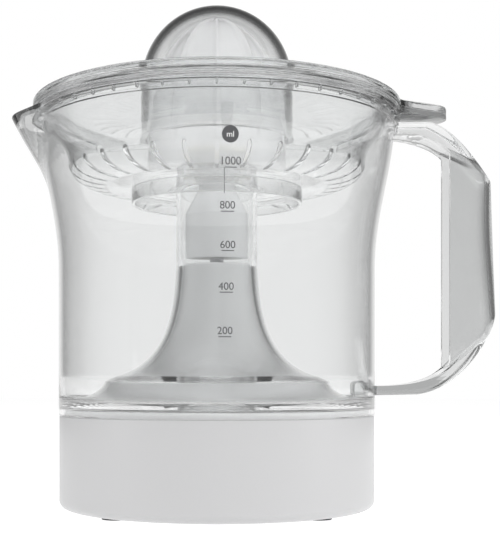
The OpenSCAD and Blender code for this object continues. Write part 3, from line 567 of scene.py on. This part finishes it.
def motor_cover():
    """Deck, flare and tower in one moulding; its skirt stands on the base's step."""
    outline = [(BEARING_R, Z_TOWER)] + arc(TOWER_EDGE, 106.8, 1.0, 90, 10, 5) + run(FLARE, 40)[1:-1]
    outline += rounded([(46.4, 55.2), (47.4, 55.0, 0.5), (47.8, 54.1)]) + run(DECK, 24)[2:]
    outline += rounded([(66.2, Z_SEAT + 0.4), (DECK_R, Z_SEAT - 0.6, 0.6), (DECK_R, Z_STEP),
                        (DECK_R - TOWER_T, Z_STEP), (DECK_R - TOWER_T, 42.0)])
    outline += [p for p in reversed(run(DECK, 24, -TOWER_T)) if p[1] < 50.8]
    outline += list(reversed(run(FLARE, 24, -TOWER_T)))
    outline += [(12.7, 104.8), (BEARING_R, 104.8)]
    return turned("motor_housing", outline, WHITE, "base", ("motor_cover",))


def drive_hub():
    """Shoulder, stem and splined tip of the spindle's hub."""
    outline = rounded([(ROD_BORE, Z_HUB), (TOWER_EDGE, Z_HUB, 0.6), (TOWER_EDGE, Z_SHOULDER, 1.8),
                       (9.0, Z_STEM, 1.0), (8.0, 140.7, 1.0), (8.0, Z_DRIVE, 0.4), (6.0, Z_DRIVE),
                       (6.0, 181.0), (4.0, 184.0, 0.6), (0.0, 184.0)])
    outline += [(0.0, 148.8), (ROD_BORE, 148.8)]
    bm = bmesh.new()
    spin(bm, outline, 180)
    spline = [(4.0, -1.4), (7.3, -1.4), (7.5, -1.2), (7.5, 1.2), (7.3, 1.4), (4.0, 1.4)]
    splines = 6
    for i in range(splines):
        extruded(bm, swung(spline, math.tau * i / splines), 158.5, 180.4)
    return piece("hub", bm, WHITE, "drive", ("drive_hub",))


# ---- Jug ----

# Radius, angle and height from which the jug's faces are the spout's, and take the spout's painted shade.
SPOUT_FROM = (79.6, 2.7, 145)


def jug():
    """Floor, tube and wall from one outline, with the wall then drawn out to the spout."""
    over = list(reversed(run(FLARE, 30, 3.2, 2.4)))
    under = run(FLARE, 30, 0.6)
    outline = [(67.8, Z_SHELL), (69.6, Z_SHELL), (70.0, Z_SHELL + 0.4)]
    outline += [(JUG_R, z) for z in (44.2, 47.0, 52.0, 62.0, 75.0, 90.0)] + run(WALL, 30)
    outline += rounded([(79.3, 167.3), (79.3, 167.9), (78.8, 168.2), (78.8, 170.3), (RIM_R, 170.3, 0.3),
                        (RIM_R, Z_RIM, 0.5), (77.4, Z_RIM, 0.5), (76.2, 171.7, 0.5)])
    outline += list(reversed(run(WALL, 30, JUG_T))) + [(JUG_BORE, z) for z in (90.0, 75.0, 62.0)]
    outline += arc(64.6, 50.2, 3.0, 0, -60, 8)
    outline += [p for p in reversed(run(DECK, 24, JUG_T)) if p[0] < 63.6] + over[1:]
    outline += rounded([(TUBE_R, 112.0), (TUBE_R, 125.0), (TUBE_R, Z_TUBE, 0.7), (TUBE_BORE, Z_TUBE, 0.7),
                        (TUBE_BORE, 111.0)])
    outline += under[:-1] + run(DECK, 24, 0.6) + [(67.0, 45.0), (67.8, Z_SEAT)]
    bm = bmesh.new()
    spin(bm, outline, 360)
    wall_from = 60
    for v in bm.verts:
        r, a, z = polar(v)
        if z < SPOUT[0][1] or r < wall_from:
            continue
        from_spout = math.pi - abs(a)
        body = wall_at(z)
        edge = spout_edge(spout_at(min(z, Z_RIM)), body, SPOUT_NOSE, from_spout)
        if edge <= body + 1e-6:
            continue
        if r > body:
            r = edge + (r - body) * (1 - min(1, (edge - body) / 2))
        else:
            r = edge - (body - r)
        place(v, r, a, z)
    wall = piece("jug_wall", bm, CLEAR, "pouring_jug", ("jug",))
    out, turn, up = SPOUT_FROM
    # The spout's faces take the darker, painted-shade copy of the clear plastic.
    return shade_faces(wall, SPOUT_SHADE, lambda r, a, z: r > out and abs(a) > turn and z > up)


def rim_ticks():
    """Small ribs under the jug's rim, but for the stretch that the spout takes."""
    bm = bmesh.new()
    rib = [(78.7, -0.4), (80.3, -0.4), (80.3, 0.4), (78.7, 0.4)]
    places, spout_half = 48, 0.55
    for i in range(places):
        a = math.tau * i / places
        if math.pi - abs((a + math.pi) % math.tau - math.pi) < spout_half:
            continue
        soften(bm, extruded(bm, swung(rib, a), 168.3, 170.25), 0.15, 1)
    return piece("rim_ticks", bm, CLEAR, "pouring_jug")


def strap_lug():
    """The block with three ribs inside the jug, where the handle's strap joins."""
    bm = bmesh.new()
    side = [(61.2, 48.2), (67.55, 47.2), (67.55, 55.3), (66.6, 55.5), (62.4, 55.3), (61.2, 54.3)]
    faces = extruded(bm, side, -5.0, 5.0, "y")
    soften(bm, faces, 0.5, 2)
    for y in (-3.4, 0.0, 3.4):
        rib = [(60.6, 49.5), (66.4, 49.5), (66.4, 55.0), (65.6, 56.2), (61.4, 55.6), (60.6, 54.6)]
        soften(bm, extruded(bm, rib, y - 0.6, y + 0.6, "y"), 0.2, 1)
    return piece("strap_lug", bm, CLEAR, "pouring_jug")


# Outer and inner side of the handle, as (kind, points, sections), from the rim down to the strap.
HANDLE_OUT = [
    ("line", (79.2, 170.3), (94.1, 170.3), 10),
    ("curve", [(94.1, 170.3), (104.1, 166.5), (117.1, 154.0), (122.2, 144.0)], 24),
    ("line", (122.2, 144.0), (124.1, 87.0), 18),
    ("curve", [(124.1, 87.0), (124.1, 76.0), (106.1, 52.5), (88.1, 50.6)], 28),
    ("line", (88.1, 50.6), (70.05, 50.2), 8),
]
TOP_IN = [(76.0, 166.2), (89.0, 165.4), (98.5, 161.5), (102.3, 157.0)]
FOOT_IN = [(102.3, 62.2), (96.0, 57.5), (88.0, 54.3), (70.0, 54.3)]
HANDLE_IN = [
    ("part", TOP_IN, (0.08, 0.45), 10),
    ("part", TOP_IN, (0.45, 1.0), 24),
    ("line", (102.3, 157.0), (102.3, 62.2), 18),
    ("part", FOOT_IN, (0.0, 0.55), 28),
    ("part", FOOT_IN, (0.55, 0.998), 8),
]
GRIP_HALF = 10.0
GRIP_T = 2.6
GRIP_R = 10.0
EDGE_R = 1.2
# Below this radius and height the handle's faces take the strap's painted shade.
STRAP_R = 100
STRAP_Z = 60
# Where along the handle, counted in sections, its edges round off and back, and its channel opens and shuts.
GRIP_RISE, GRIP_FALL = (14, 32), (54, 76)
HOLLOW_RISE, HOLLOW_FALL = (24, 29), (58, 63)


def path(table):
    """The points of a side of the handle, one for each section."""
    out = []
    for row in table:
        n = row[-1]
        for i in range(n):
            f = i / n
            if row[0] == "line":
                out.append(tuple(a + f * (b - a) for a, b in zip(row[1], row[2])))
            elif row[0] == "curve":
                out.append(bez(row[1], f))
            else:
                out.append(bez(row[1], row[2][0] + f * (row[2][1] - row[2][0])))
    last = table[-1]
    out.append(last[2] if last[0] == "line" else bez(last[1], last[2][1]))
    return out


def step(x, low, high):
    """A smooth step from 0 to 1."""
    f = min(1, max(0, (x - low) / (high - low)))
    return f * f * (3 - 2 * f)


def grip_section(depth, ru, rv, hollow):
    """A channel across the grip, as (in from the outer face, sideways), open on its inner side."""
    half, wall = GRIP_HALF, GRIP_T

    def shell(inset, d, a, b):
        """One side of the channel's wall, with its two rounded corners."""
        side = half - inset
        pts = [(d - (d - a) * f, -side) for f in (0.0, 0.34, 0.67)]
        pts += [(inset + (a - inset) * (1 - math.sin(math.radians(t))),
                 -side + (b - inset) * (1 - math.cos(math.radians(t)))) for t in range(0, 91, 10)]
        return pts + [(u, -v) for u, v in reversed(pts)]

    outer = shell(0.0, depth, ru, rv)
    inner = shell(wall, depth, max(ru, wall + 0.1), rv)
    inner = [(depth - (depth - u) * hollow, v) for u, v in inner]
    return outer + list(reversed(inner))


def handle():
    """Grip and strap in one sweep: a section at each pair of points, bridged to the next."""
    outer, inner = path(HANDLE_OUT), path(HANDLE_IN)
    bm = bmesh.new()
    loops = []
    for i, (o, q) in enumerate(zip(outer, inner)):
        o, q = Vector(o), Vector(q)
        depth = (q - o).length
        into = (q - o) / depth
        grip = step(i, *GRIP_RISE) * (1 - step(i, *GRIP_FALL))
        hollow = max(0.004, step(i, *HOLLOW_RISE) * (1 - step(i, *HOLLOW_FALL)))
        rv = EDGE_R + (GRIP_R - EDGE_R) * grip
        ru = min(0.85 * depth, rv)
        loop = [bm.verts.new(((o.x + into.x * u) * MM, v * MM, (o.y + into.y * u) * MM))
                for u, v in grip_section(depth, ru, rv, hollow)]
        loops.append([bm.edges.new((a, b)) for a, b in zip(loop, loop[1:] + loop[:1])])
    for a, b in zip(loops, loops[1:]):
        bmesh.ops.bridge_loops(bm, edges=a + b)
    for ends in (loops[0], loops[-1]):
        bmesh.ops.contextual_create(bm, geom=ends)
    # The grip takes the darker, painted-shade copy of the clear plastic.
    grip = piece("grip", bm, GRIP, "pouring_jug", ("jug_handle",), 32)
    # The strap's faces take the darker, painted-shade copy of the clear plastic.
    return shade_faces(grip, STRAP, lambda r, a, z: r < STRAP_R and z < STRAP_Z)


# ---- Strainer, reamer and dust cover ----

TAB = tab_outline(103.0, 9.0, 71.0, 22.0)
# Beyond this radius the tabs' faces take their painted shade.
TAB_FROM = 84.0
TAB_HALF_ANGLE = 0.6
SLOTS = 32
SLOT_HALF = 0.85


def pull_tab(bm, ring, keep):
    """Draws the outer edge of a turned ring out to the thumb tab's outline."""
    for v in bm.verts:
        r, a, z = polar(v)
        if r > keep and abs(a) < TAB_HALF_ANGLE:
            out = smooth_max(ring, ray_out(TAB, a), 2.5)
            place(v, r + out - ring - (0.6 if out > ring + 1.5 else 0), a, z)


def strainer_bowl():
    """Bowl of one wall, as rows of its outline by columns round the axis, left open at the slots."""
    per = 8          # columns for one slot and the wall beside it
    columns = SLOTS * per
    upper_o, upper_i = run(BOWL_UPPER, 12), run(BOWL_UPPER, 12, -SIEVE_T)
    lower_o, lower_i = run(BOWL_LOWER, 26), run(BOWL_LOWER, 26, -SIEVE_T)
    rows_o = upper_o[:-1] + lower_o
    rows_i = upper_i[:-1] + lower_i
    first = len(upper_o) - 1          # the slots' upper ends, at the foot of the upper curve
    last = len(rows_o) - 2
    rim_o = rounded([(79.0, Z_FLANGE), (FLANGE_R, Z_FLANGE, 0.5), (FLANGE_R, Z_RIM, 0.3), (79.0, Z_RIM),
                     (LOCATE_R, Z_RIM), (LOCATE_R, 171.0)])
    rim_i = rounded([(74.0, 171.0), (74.0, Z_FLANGE, 0.6), (77.0, Z_FLANGE)])
    under = rounded([(43.0, 141.9), (38.0, 141.6), (38.0, 135.0, 0.4), (36.4, 135.0, 0.4), (36.4, 141.6),
                     (21.2, 142.0, 1.5), (15.0, 147.6, 1.5), (11.5, 149.4, 1.0), (11.5, 156.8, 0.5),
                     (13.5, 156.8, 0.5), (13.5, 149.9, 0.6), (16.5, 149.4, 1.5), (23.0, 144.0, 1.5),
                     (32.0, 144.0), (40.0, 144.0)])
    profile = rim_o + rows_o + under + list(reversed(rows_i)) + rim_i
    start_o = len(rim_o)
    start_i = len(rim_o) + len(rows_o) + len(under)
    total = len(profile)
    twin = {start_o + j: start_i + len(rows_i) - 1 - j for j in range(len(rows_o))}
    bm = bmesh.new()
    pitch = math.tau / SLOTS
    base = [-0.5, -0.34, -0.18, None, 0.0, None, 0.18, 0.34]
    grid = []
    for k, (r, z) in enumerate(profile):
        ring = []
        j = None
        if k in twin:
            j = k - start_o
        elif start_i <= k < start_i + len(rows_i):
            j = start_i + len(rows_i) - 1 - k
        half = 0.075
        if j is not None and first <= j <= last:
            gap = min(j - first, last - j)
            half = (SLOT_HALF / r) / pitch * min(1.0, 0.35 + 0.33 * gap)
        for c in range(columns):
            f = base[c % per]
            if f is None:
                f = -half if c % per == 3 else half
            a = (c // per + f) * pitch
            ring.append(bm.verts.new((r * math.cos(a) * MM, r * math.sin(a) * MM, z * MM)))
        grid.append(ring)
    open_rows = range(first, last)
    for k in range(total):
        nxt = (k + 1) % total
        j = k - start_o
        in_o = start_o <= k < start_o + len(rows_o) - 1 and j in open_rows
        ji = start_i + len(rows_i) - 2 - k
        in_i = start_i <= k < start_i + len(rows_i) - 1 and ji in open_rows
        for c in range(columns):
            if (in_o or in_i) and c % per in (3, 4):
                continue
            d = (c + 1) % columns
            bm.faces.new((grid[k][c], grid[k][d], grid[nxt][d], grid[nxt][c]))
    for s in range(SLOTS):
        left, mid, right = s * per + 3, s * per + 4, s * per + 5
        for j in open_rows:
            a, b = start_o + j, start_o + j + 1
            for c in (left, right):
                bm.faces.new((grid[a][c], grid[b][c], grid[twin[b]][c], grid[twin[a]][c]))
        for j in (first, last):
            a = start_o + j
            for c, d in ((left, mid), (mid, right)):
                bm.faces.new((grid[a][c], grid[a][d], grid[twin[a]][d], grid[twin[a]][c]))
    pull_tab(bm, FLANGE_R, 79.5)
    bowl = piece("sieve_bowl", bm, CLEAR, "sieve", ("strainer",), 45)
    return shade_faces(bowl, TAB_SHADE, lambda r, a, z: r > TAB_FROM)


# From this height, and within the dome's radius and root, the cover's faces take the dome's painted dark
# edge.
DOME_FROM = 168
DOME_ROOT = 1.2


def dust_cover():
    """Dished ring with a dome in its middle and a thumb tab."""
    outline = rounded([(80.0, Z_FLANGE), (COVER_R, Z_FLANGE, 0.4), (COVER_R, Z_COVER, 0.8), (79.6, Z_COVER),
                       (75.0, Z_COVER)])
    outline += run(DISH, 24) + rounded([(36.0, 164.9), (DOME_R, 164.9, 1.6), (DOME_R, 170.0)])
    outline += arc(0, Z_DOME, DOME_R, 0, 90, 28)
    outline += arc(0, Z_DOME, DOME_BORE, 90, 0, 28)
    outline += [(DOME_BORE, 170.0), (DOME_BORE, 163.4), (32.2, 163.1), (36.0, 163.1)]
    outline += [p for p in reversed(run(DISH, 24, COVER_T)) if p[1] < 174.6]
    bm = bmesh.new()
    spin(bm, outline, 288)
    pull_tab(bm, COVER_R, 80.3)
    cover = piece("cover", bm, CLEAR, "lid", ("dust_cover",), 45)
    shade_faces(cover, TAB_SHADE, lambda r, a, z: r > TAB_FROM)
    # The dome takes the clear plastic with the painted dark arc at its edge.
    return shade_faces(cover, DOME, lambda r, a, z: z > DOME_FROM and r < DOME_R + DOME_ROOT)


# Ribs of the reamer: how many, a crest's height and width, and the depth and reach of the flute beside it.
RIBS = 10
CREST, CREST_W = 1.0, 1.1
FLUTE, FLUTE_W = 0.8, 4.0
Z_TIP_FROM = 205.0


def reamer():
    """A hollow cone with ribs that rise from its foot and run together at its tip."""
    outer = [(28.5, 146.0), (29.9, 146.0), (30.5, 146.6), (30.5, 150.0), (30.5, 154.0)] + run(CONE, 40)
    inner = [p for p in reversed(run(CONE, 40, 2.0)) if p[0] > 0.5] + [(28.5, 156.0)]
    bm = bmesh.new()
    spin(bm, outer + [(0.0, 216.4)] + inner, 360)
    for v in bm.verts:
        r, a, z = polar(v)
        if z < Z_RIB_FOOT or r < 0.2:
            continue
        if r < bez(CONE, level(CONE, z))[0] - 0.9:
            continue
        phase = ((a - math.pi / 2) * RIBS / math.tau) % 1.0
        off = abs(phase - round(phase)) * math.tau / RIBS * r
        ridge = math.exp(-((off / CREST_W) ** 2)) * step(z, Z_RIB_FOOT, 166.0)
        flute = min(1.0, off / FLUTE_W) * step(z, Z_RIB_FOOT, 175.0) * min(1, r / 12)
        out = CREST * ridge - FLUTE * flute
        lift = max(0.0, (z - Z_TIP_FROM) / (CONE[3][1] - Z_TIP_FROM))
        place(v, r + out * (1 - 0.6 * lift), a, z + 1.2 * ridge * lift)
    return piece("cone", bm, FROST, "reamer", ("reamer_cone",))


# ---- Printed scale ----

def wrap(obj, name, material, x, z, lift):
    """Lays a flat piece of print, drawn in X and Y, on the front of the jug's wall."""
    dg = bpy.context.evaluated_depsgraph_get()
    mesh = bpy.data.meshes.new_from_object(obj.evaluated_get(dg))
    bpy.data.objects.remove(obj)
    bm = bmesh.new()
    bm.from_mesh(mesh)
    bpy.data.meshes.remove(mesh)
    for _ in range(3):
        long = [e for e in bm.edges if e.calc_length() > 1.2 * MM]
        if not long:
            break
        bmesh.ops.subdivide_edges(bm, edges=long, cuts=1)
    bmesh.ops.triangulate(bm, faces=bm.faces)
    for v in bm.verts:
        height = z + v.co.y / MM
        r = wall_at(height) + lift
        a = (x + v.co.x / MM) / r
        v.co = (r * math.sin(a) * MM, -r * math.cos(a) * MM, height * MM)
    for f in bm.faces:
        f.normal_update()
        if f.normal.y > 0:
            f.normal_flip()
    mesh = mesh_of(name, bm)
    out = add(name, mesh)
    mesh.materials.append(material)
    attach(out, "pouring_jug")
    return out


CAP_HEIGHT = 0.73          # of a digit, as a share of the font's size


def words(text, height, name, material, x, z, lift=0.06):
    """Digits of the given height, centred on x, standing on z."""
    data = bpy.data.curves.new(name, "FONT")
    data.body = text
    data.size = height * MM / CAP_HEIGHT
    data.align_x = "CENTER"
    data.space_character = 0.98
    data.resolution_u = 6
    return wrap(add(name + "_text", data), name, material, x, z, lift)


def patch(outline, name, material, x, z, lift=0.05):
    """A flat outline of print."""
    bm = bmesh.new()
    bm.faces.new([bm.verts.new((a * MM, b * MM, 0)) for a, b in outline])
    flat = name + "_flat"
    return wrap(add(flat, mesh_of(flat, bm)), name, material, x, z, lift)


def bar(x0, x1, z0, z1, name):
    """A straight line of print, cut in parts so that it bends round the wall."""
    n = 6
    top = [(x0 + (x1 - x0) * i / n, z1) for i in range(n, -1, -1)]
    return patch([(x0 + (x1 - x0) * i / n, z0) for i in range(n + 1)] + top, name, INK, 0, 0)


def scale_print():
    """The unit in its disc, and the scale's numbers and lines from the top down."""
    patch(arc(0, 0, 3.2, 0, 352.5, 47), "unit_disc", INK, 5.16, 150.0)
    words("ml", 2.3, "unit", CHALK, 5.16, 148.9, 0.09)
    marks = [("1000", 138.8, 5.2, 3.1), ("800", 122.5, 4.1, 3.0), ("600", 107.5, 4.2, 3.0),
             ("400", 91.5, 3.6, 3.0), ("200", 74.5, 3.1, 3.0)]
    for text, z, x, tall in marks:
        words(text, tall, "mark_" + text, INK, x, z)
    lines = [("1000", 3.0, 7.6, 137.85), ("800", 1.6, 6.6, 121.5), ("600", 1.8, 6.6, 106.6),
             ("400", 1.1, 6.2, 90.6), ("200", 0.6, 5.6, 73.5)]
    half = 0.17
    for text, x0, x1, z in lines:
        bar(x0, x1, z - half, z + half, "line_" + text)
    bar(2.75, 3.0, 128.2, 137.7, "leader")


# ---- Stage ----

# Grey of the studio by direction: from the camera's side to the wall behind, and from below to above.
NEAR_TO_FAR = [(-1.0, 0.36), (-0.6, 0.38), (-0.15, 0.46), (0.2, 0.26), (0.6, 0.16), (0.8, 0.22), (0.93, 0.9),
               (1.0, 1.0)]
DOWN_TO_UP = [(-1.0, 1.0), (0.0, 1.0), (0.35, 0.96), (0.62, 0.45), (0.8, 0.5), (1.0, 1.0)]


def ramp_node(t, stops, source):
    """A smooth grey ramp over -1 to 1."""
    to = t.nodes.new("ShaderNodeMapRange")
    to.inputs["From Min"].default_value = -1.0
    to.inputs["From Max"].default_value = 1.0
    link(t, source, to.inputs["Value"])
    ramp = t.nodes.new("ShaderNodeValToRGB")
    ramp.color_ramp.interpolation = "B_SPLINE"
    while len(ramp.color_ramp.elements) < len(stops):
        ramp.color_ramp.elements.new(0.5)
    for e, (at, v) in zip(ramp.color_ramp.elements, stops):
        e.position = (at + 1) / 2
        e.color = (v, v, v, 1)
    link(t, to.outputs["Result"], ramp.inputs[0])
    return ramp.outputs["Color"]


def times(t, a, b):
    """Two colours multiplied."""
    mix = t.nodes.new("ShaderNodeMix")
    mix.data_type = "RGBA"
    mix.blend_type = "MULTIPLY"
    mix.inputs["Factor"].default_value = 1.0
    link(t, a, mix.inputs[6])
    link(t, b, mix.inputs[7])
    return mix.outputs[2]


def world():
    """White to the camera, and a grey studio to every other ray."""
    w = bpy.data.worlds.new("studio")
    bpy.context.scene.world = w
    w.use_nodes = True
    t = w.node_tree
    t.nodes.clear()
    out = t.nodes.new("ShaderNodeOutputWorld")
    seen = t.nodes.new("ShaderNodeBackground")
    seen.inputs["Color"].default_value = (1, 1, 1, 1)
    lit = t.nodes.new("ShaderNodeBackground")
    at = t.nodes.new("ShaderNodeTexCoord")
    split = t.nodes.new("ShaderNodeSeparateXYZ")
    link(t, at.outputs["Generated"], split.inputs[0])
    along = ramp_node(t, NEAR_TO_FAR, split.outputs["Y"])
    up = ramp_node(t, DOWN_TO_UP, split.outputs["Z"])
    link(t, times(t, along, up), lit.inputs["Color"])
    rays = t.nodes.new("ShaderNodeLightPath")
    mix = t.nodes.new("ShaderNodeMixShader")
    link(t, rays.outputs["Is Camera Ray"], mix.inputs[0])
    link(t, lit.outputs[0], mix.inputs[1])
    link(t, seen.outputs[0], mix.inputs[2])
    link(t, mix.outputs[0], out.inputs[0])


FLOOR_R = 3.0
FLOOR_Z = -0.0002


def floor():
    """A pale round floor that glows, so that it stays near white and keeps the shadow."""
    bm = bmesh.new()
    sides = 64
    turns = [math.tau * i / sides for i in range(sides)]
    bm.faces.new([bm.verts.new((FLOOR_R * math.cos(a), FLOOR_R * math.sin(a), FLOOR_Z)) for a in turns])
    mesh = mesh_of("floor", bm)
    obj = add("floor", mesh)
    m = bpy.data.materials.new("floor_white")
    m.use_nodes = True
    t = m.node_tree
    t.nodes.clear()
    out = t.nodes.new("ShaderNodeOutputMaterial")
    total = t.nodes.new("ShaderNodeAddShader")
    plain = t.nodes.new("ShaderNodeBsdfDiffuse")
    plain.inputs["Color"].default_value = (0.35, 0.35, 0.35, 1)
    glow = t.nodes.new("ShaderNodeEmission")
    glow.inputs["Color"].default_value = (1, 1, 1, 1)
    glow.inputs["Strength"].default_value = 0.9
    link(t, plain.outputs[0], total.inputs[0])
    link(t, glow.outputs[0], total.inputs[1])
    link(t, total.outputs[0], out.inputs["Surface"])
    mesh.materials.append(m)


# Name, place and aim in metres, size in metres and power in watts.
LAMPS = [
    ("left_box", (-1.0, -0.35, 0.35), (0, 0, 0.08), (0.4, 0.8), 3.1),
    ("right_box", (1.0, -0.3, 0.35), (0, 0, 0.08), (0.4, 0.8), 5.2),
    ("key_box", (0.0, -0.8, 1.1), (0, 0, 0.1), (1.0, 0.6), 9.5),
    ("back_box", (0.3, 1.0, 0.6), (0, 0, 0.1), (1.0, 0.8), 3.0),
]


def lamp(name, at, to, size, power):
    """A soft box that shows neither to the camera nor in or through the object."""
    data = bpy.data.lights.new(name, "AREA")
    data.shape = "RECTANGLE"
    data.size, data.size_y = size
    data.energy = power
    obj = add(name, data)
    obj.location = at
    obj.rotation_mode = "QUATERNION"
    obj.rotation_quaternion = (Vector(to) - Vector(at)).to_track_quat("-Z", "Y")
    obj.visible_camera = False
    obj.visible_transmission = False
    obj.visible_glossy = False


# The camera is level. Its focal length and shift are in pixels of a picture with this long side.
LONG_SIDE = 533
FOCAL = 1100
SHIFT = (33.2, 113.5)
SENSOR = 36
EYE = (0, -0.492, 0.0569)


def camera():
    """A level view of the front."""
    data = bpy.data.cameras.new("camera")
    data.sensor_width = SENSOR
    data.lens = SENSOR * FOCAL / LONG_SIDE
    data.shift_x = SHIFT[0] / LONG_SIDE
    data.shift_y = SHIFT[1] / LONG_SIDE
    obj = add("camera", data)
    obj.location = EYE
    obj.rotation_euler = (math.pi / 2, 0, 0)
    bpy.context.scene.camera = obj


base_shell()
motor_cover()
drive_hub()
jug()
rim_ticks()
strap_lug()
handle()
strainer_bowl()
dust_cover()
reamer()
scale_print()
world()
floor()
for row in LAMPS:
    lamp(*row)
camera()

scene = bpy.context.scene
scene.view_settings.view_transform = "Standard"
# Light crosses many clear walls here, so it gets more bounces than by default.
BOUNCES = 64
scene.cycles.max_bounces = BOUNCES
scene.cycles.transmission_bounces = BOUNCES
scene.cycles.glossy_bounces = BOUNCES
scene.cycles.transparent_max_bounces = 32
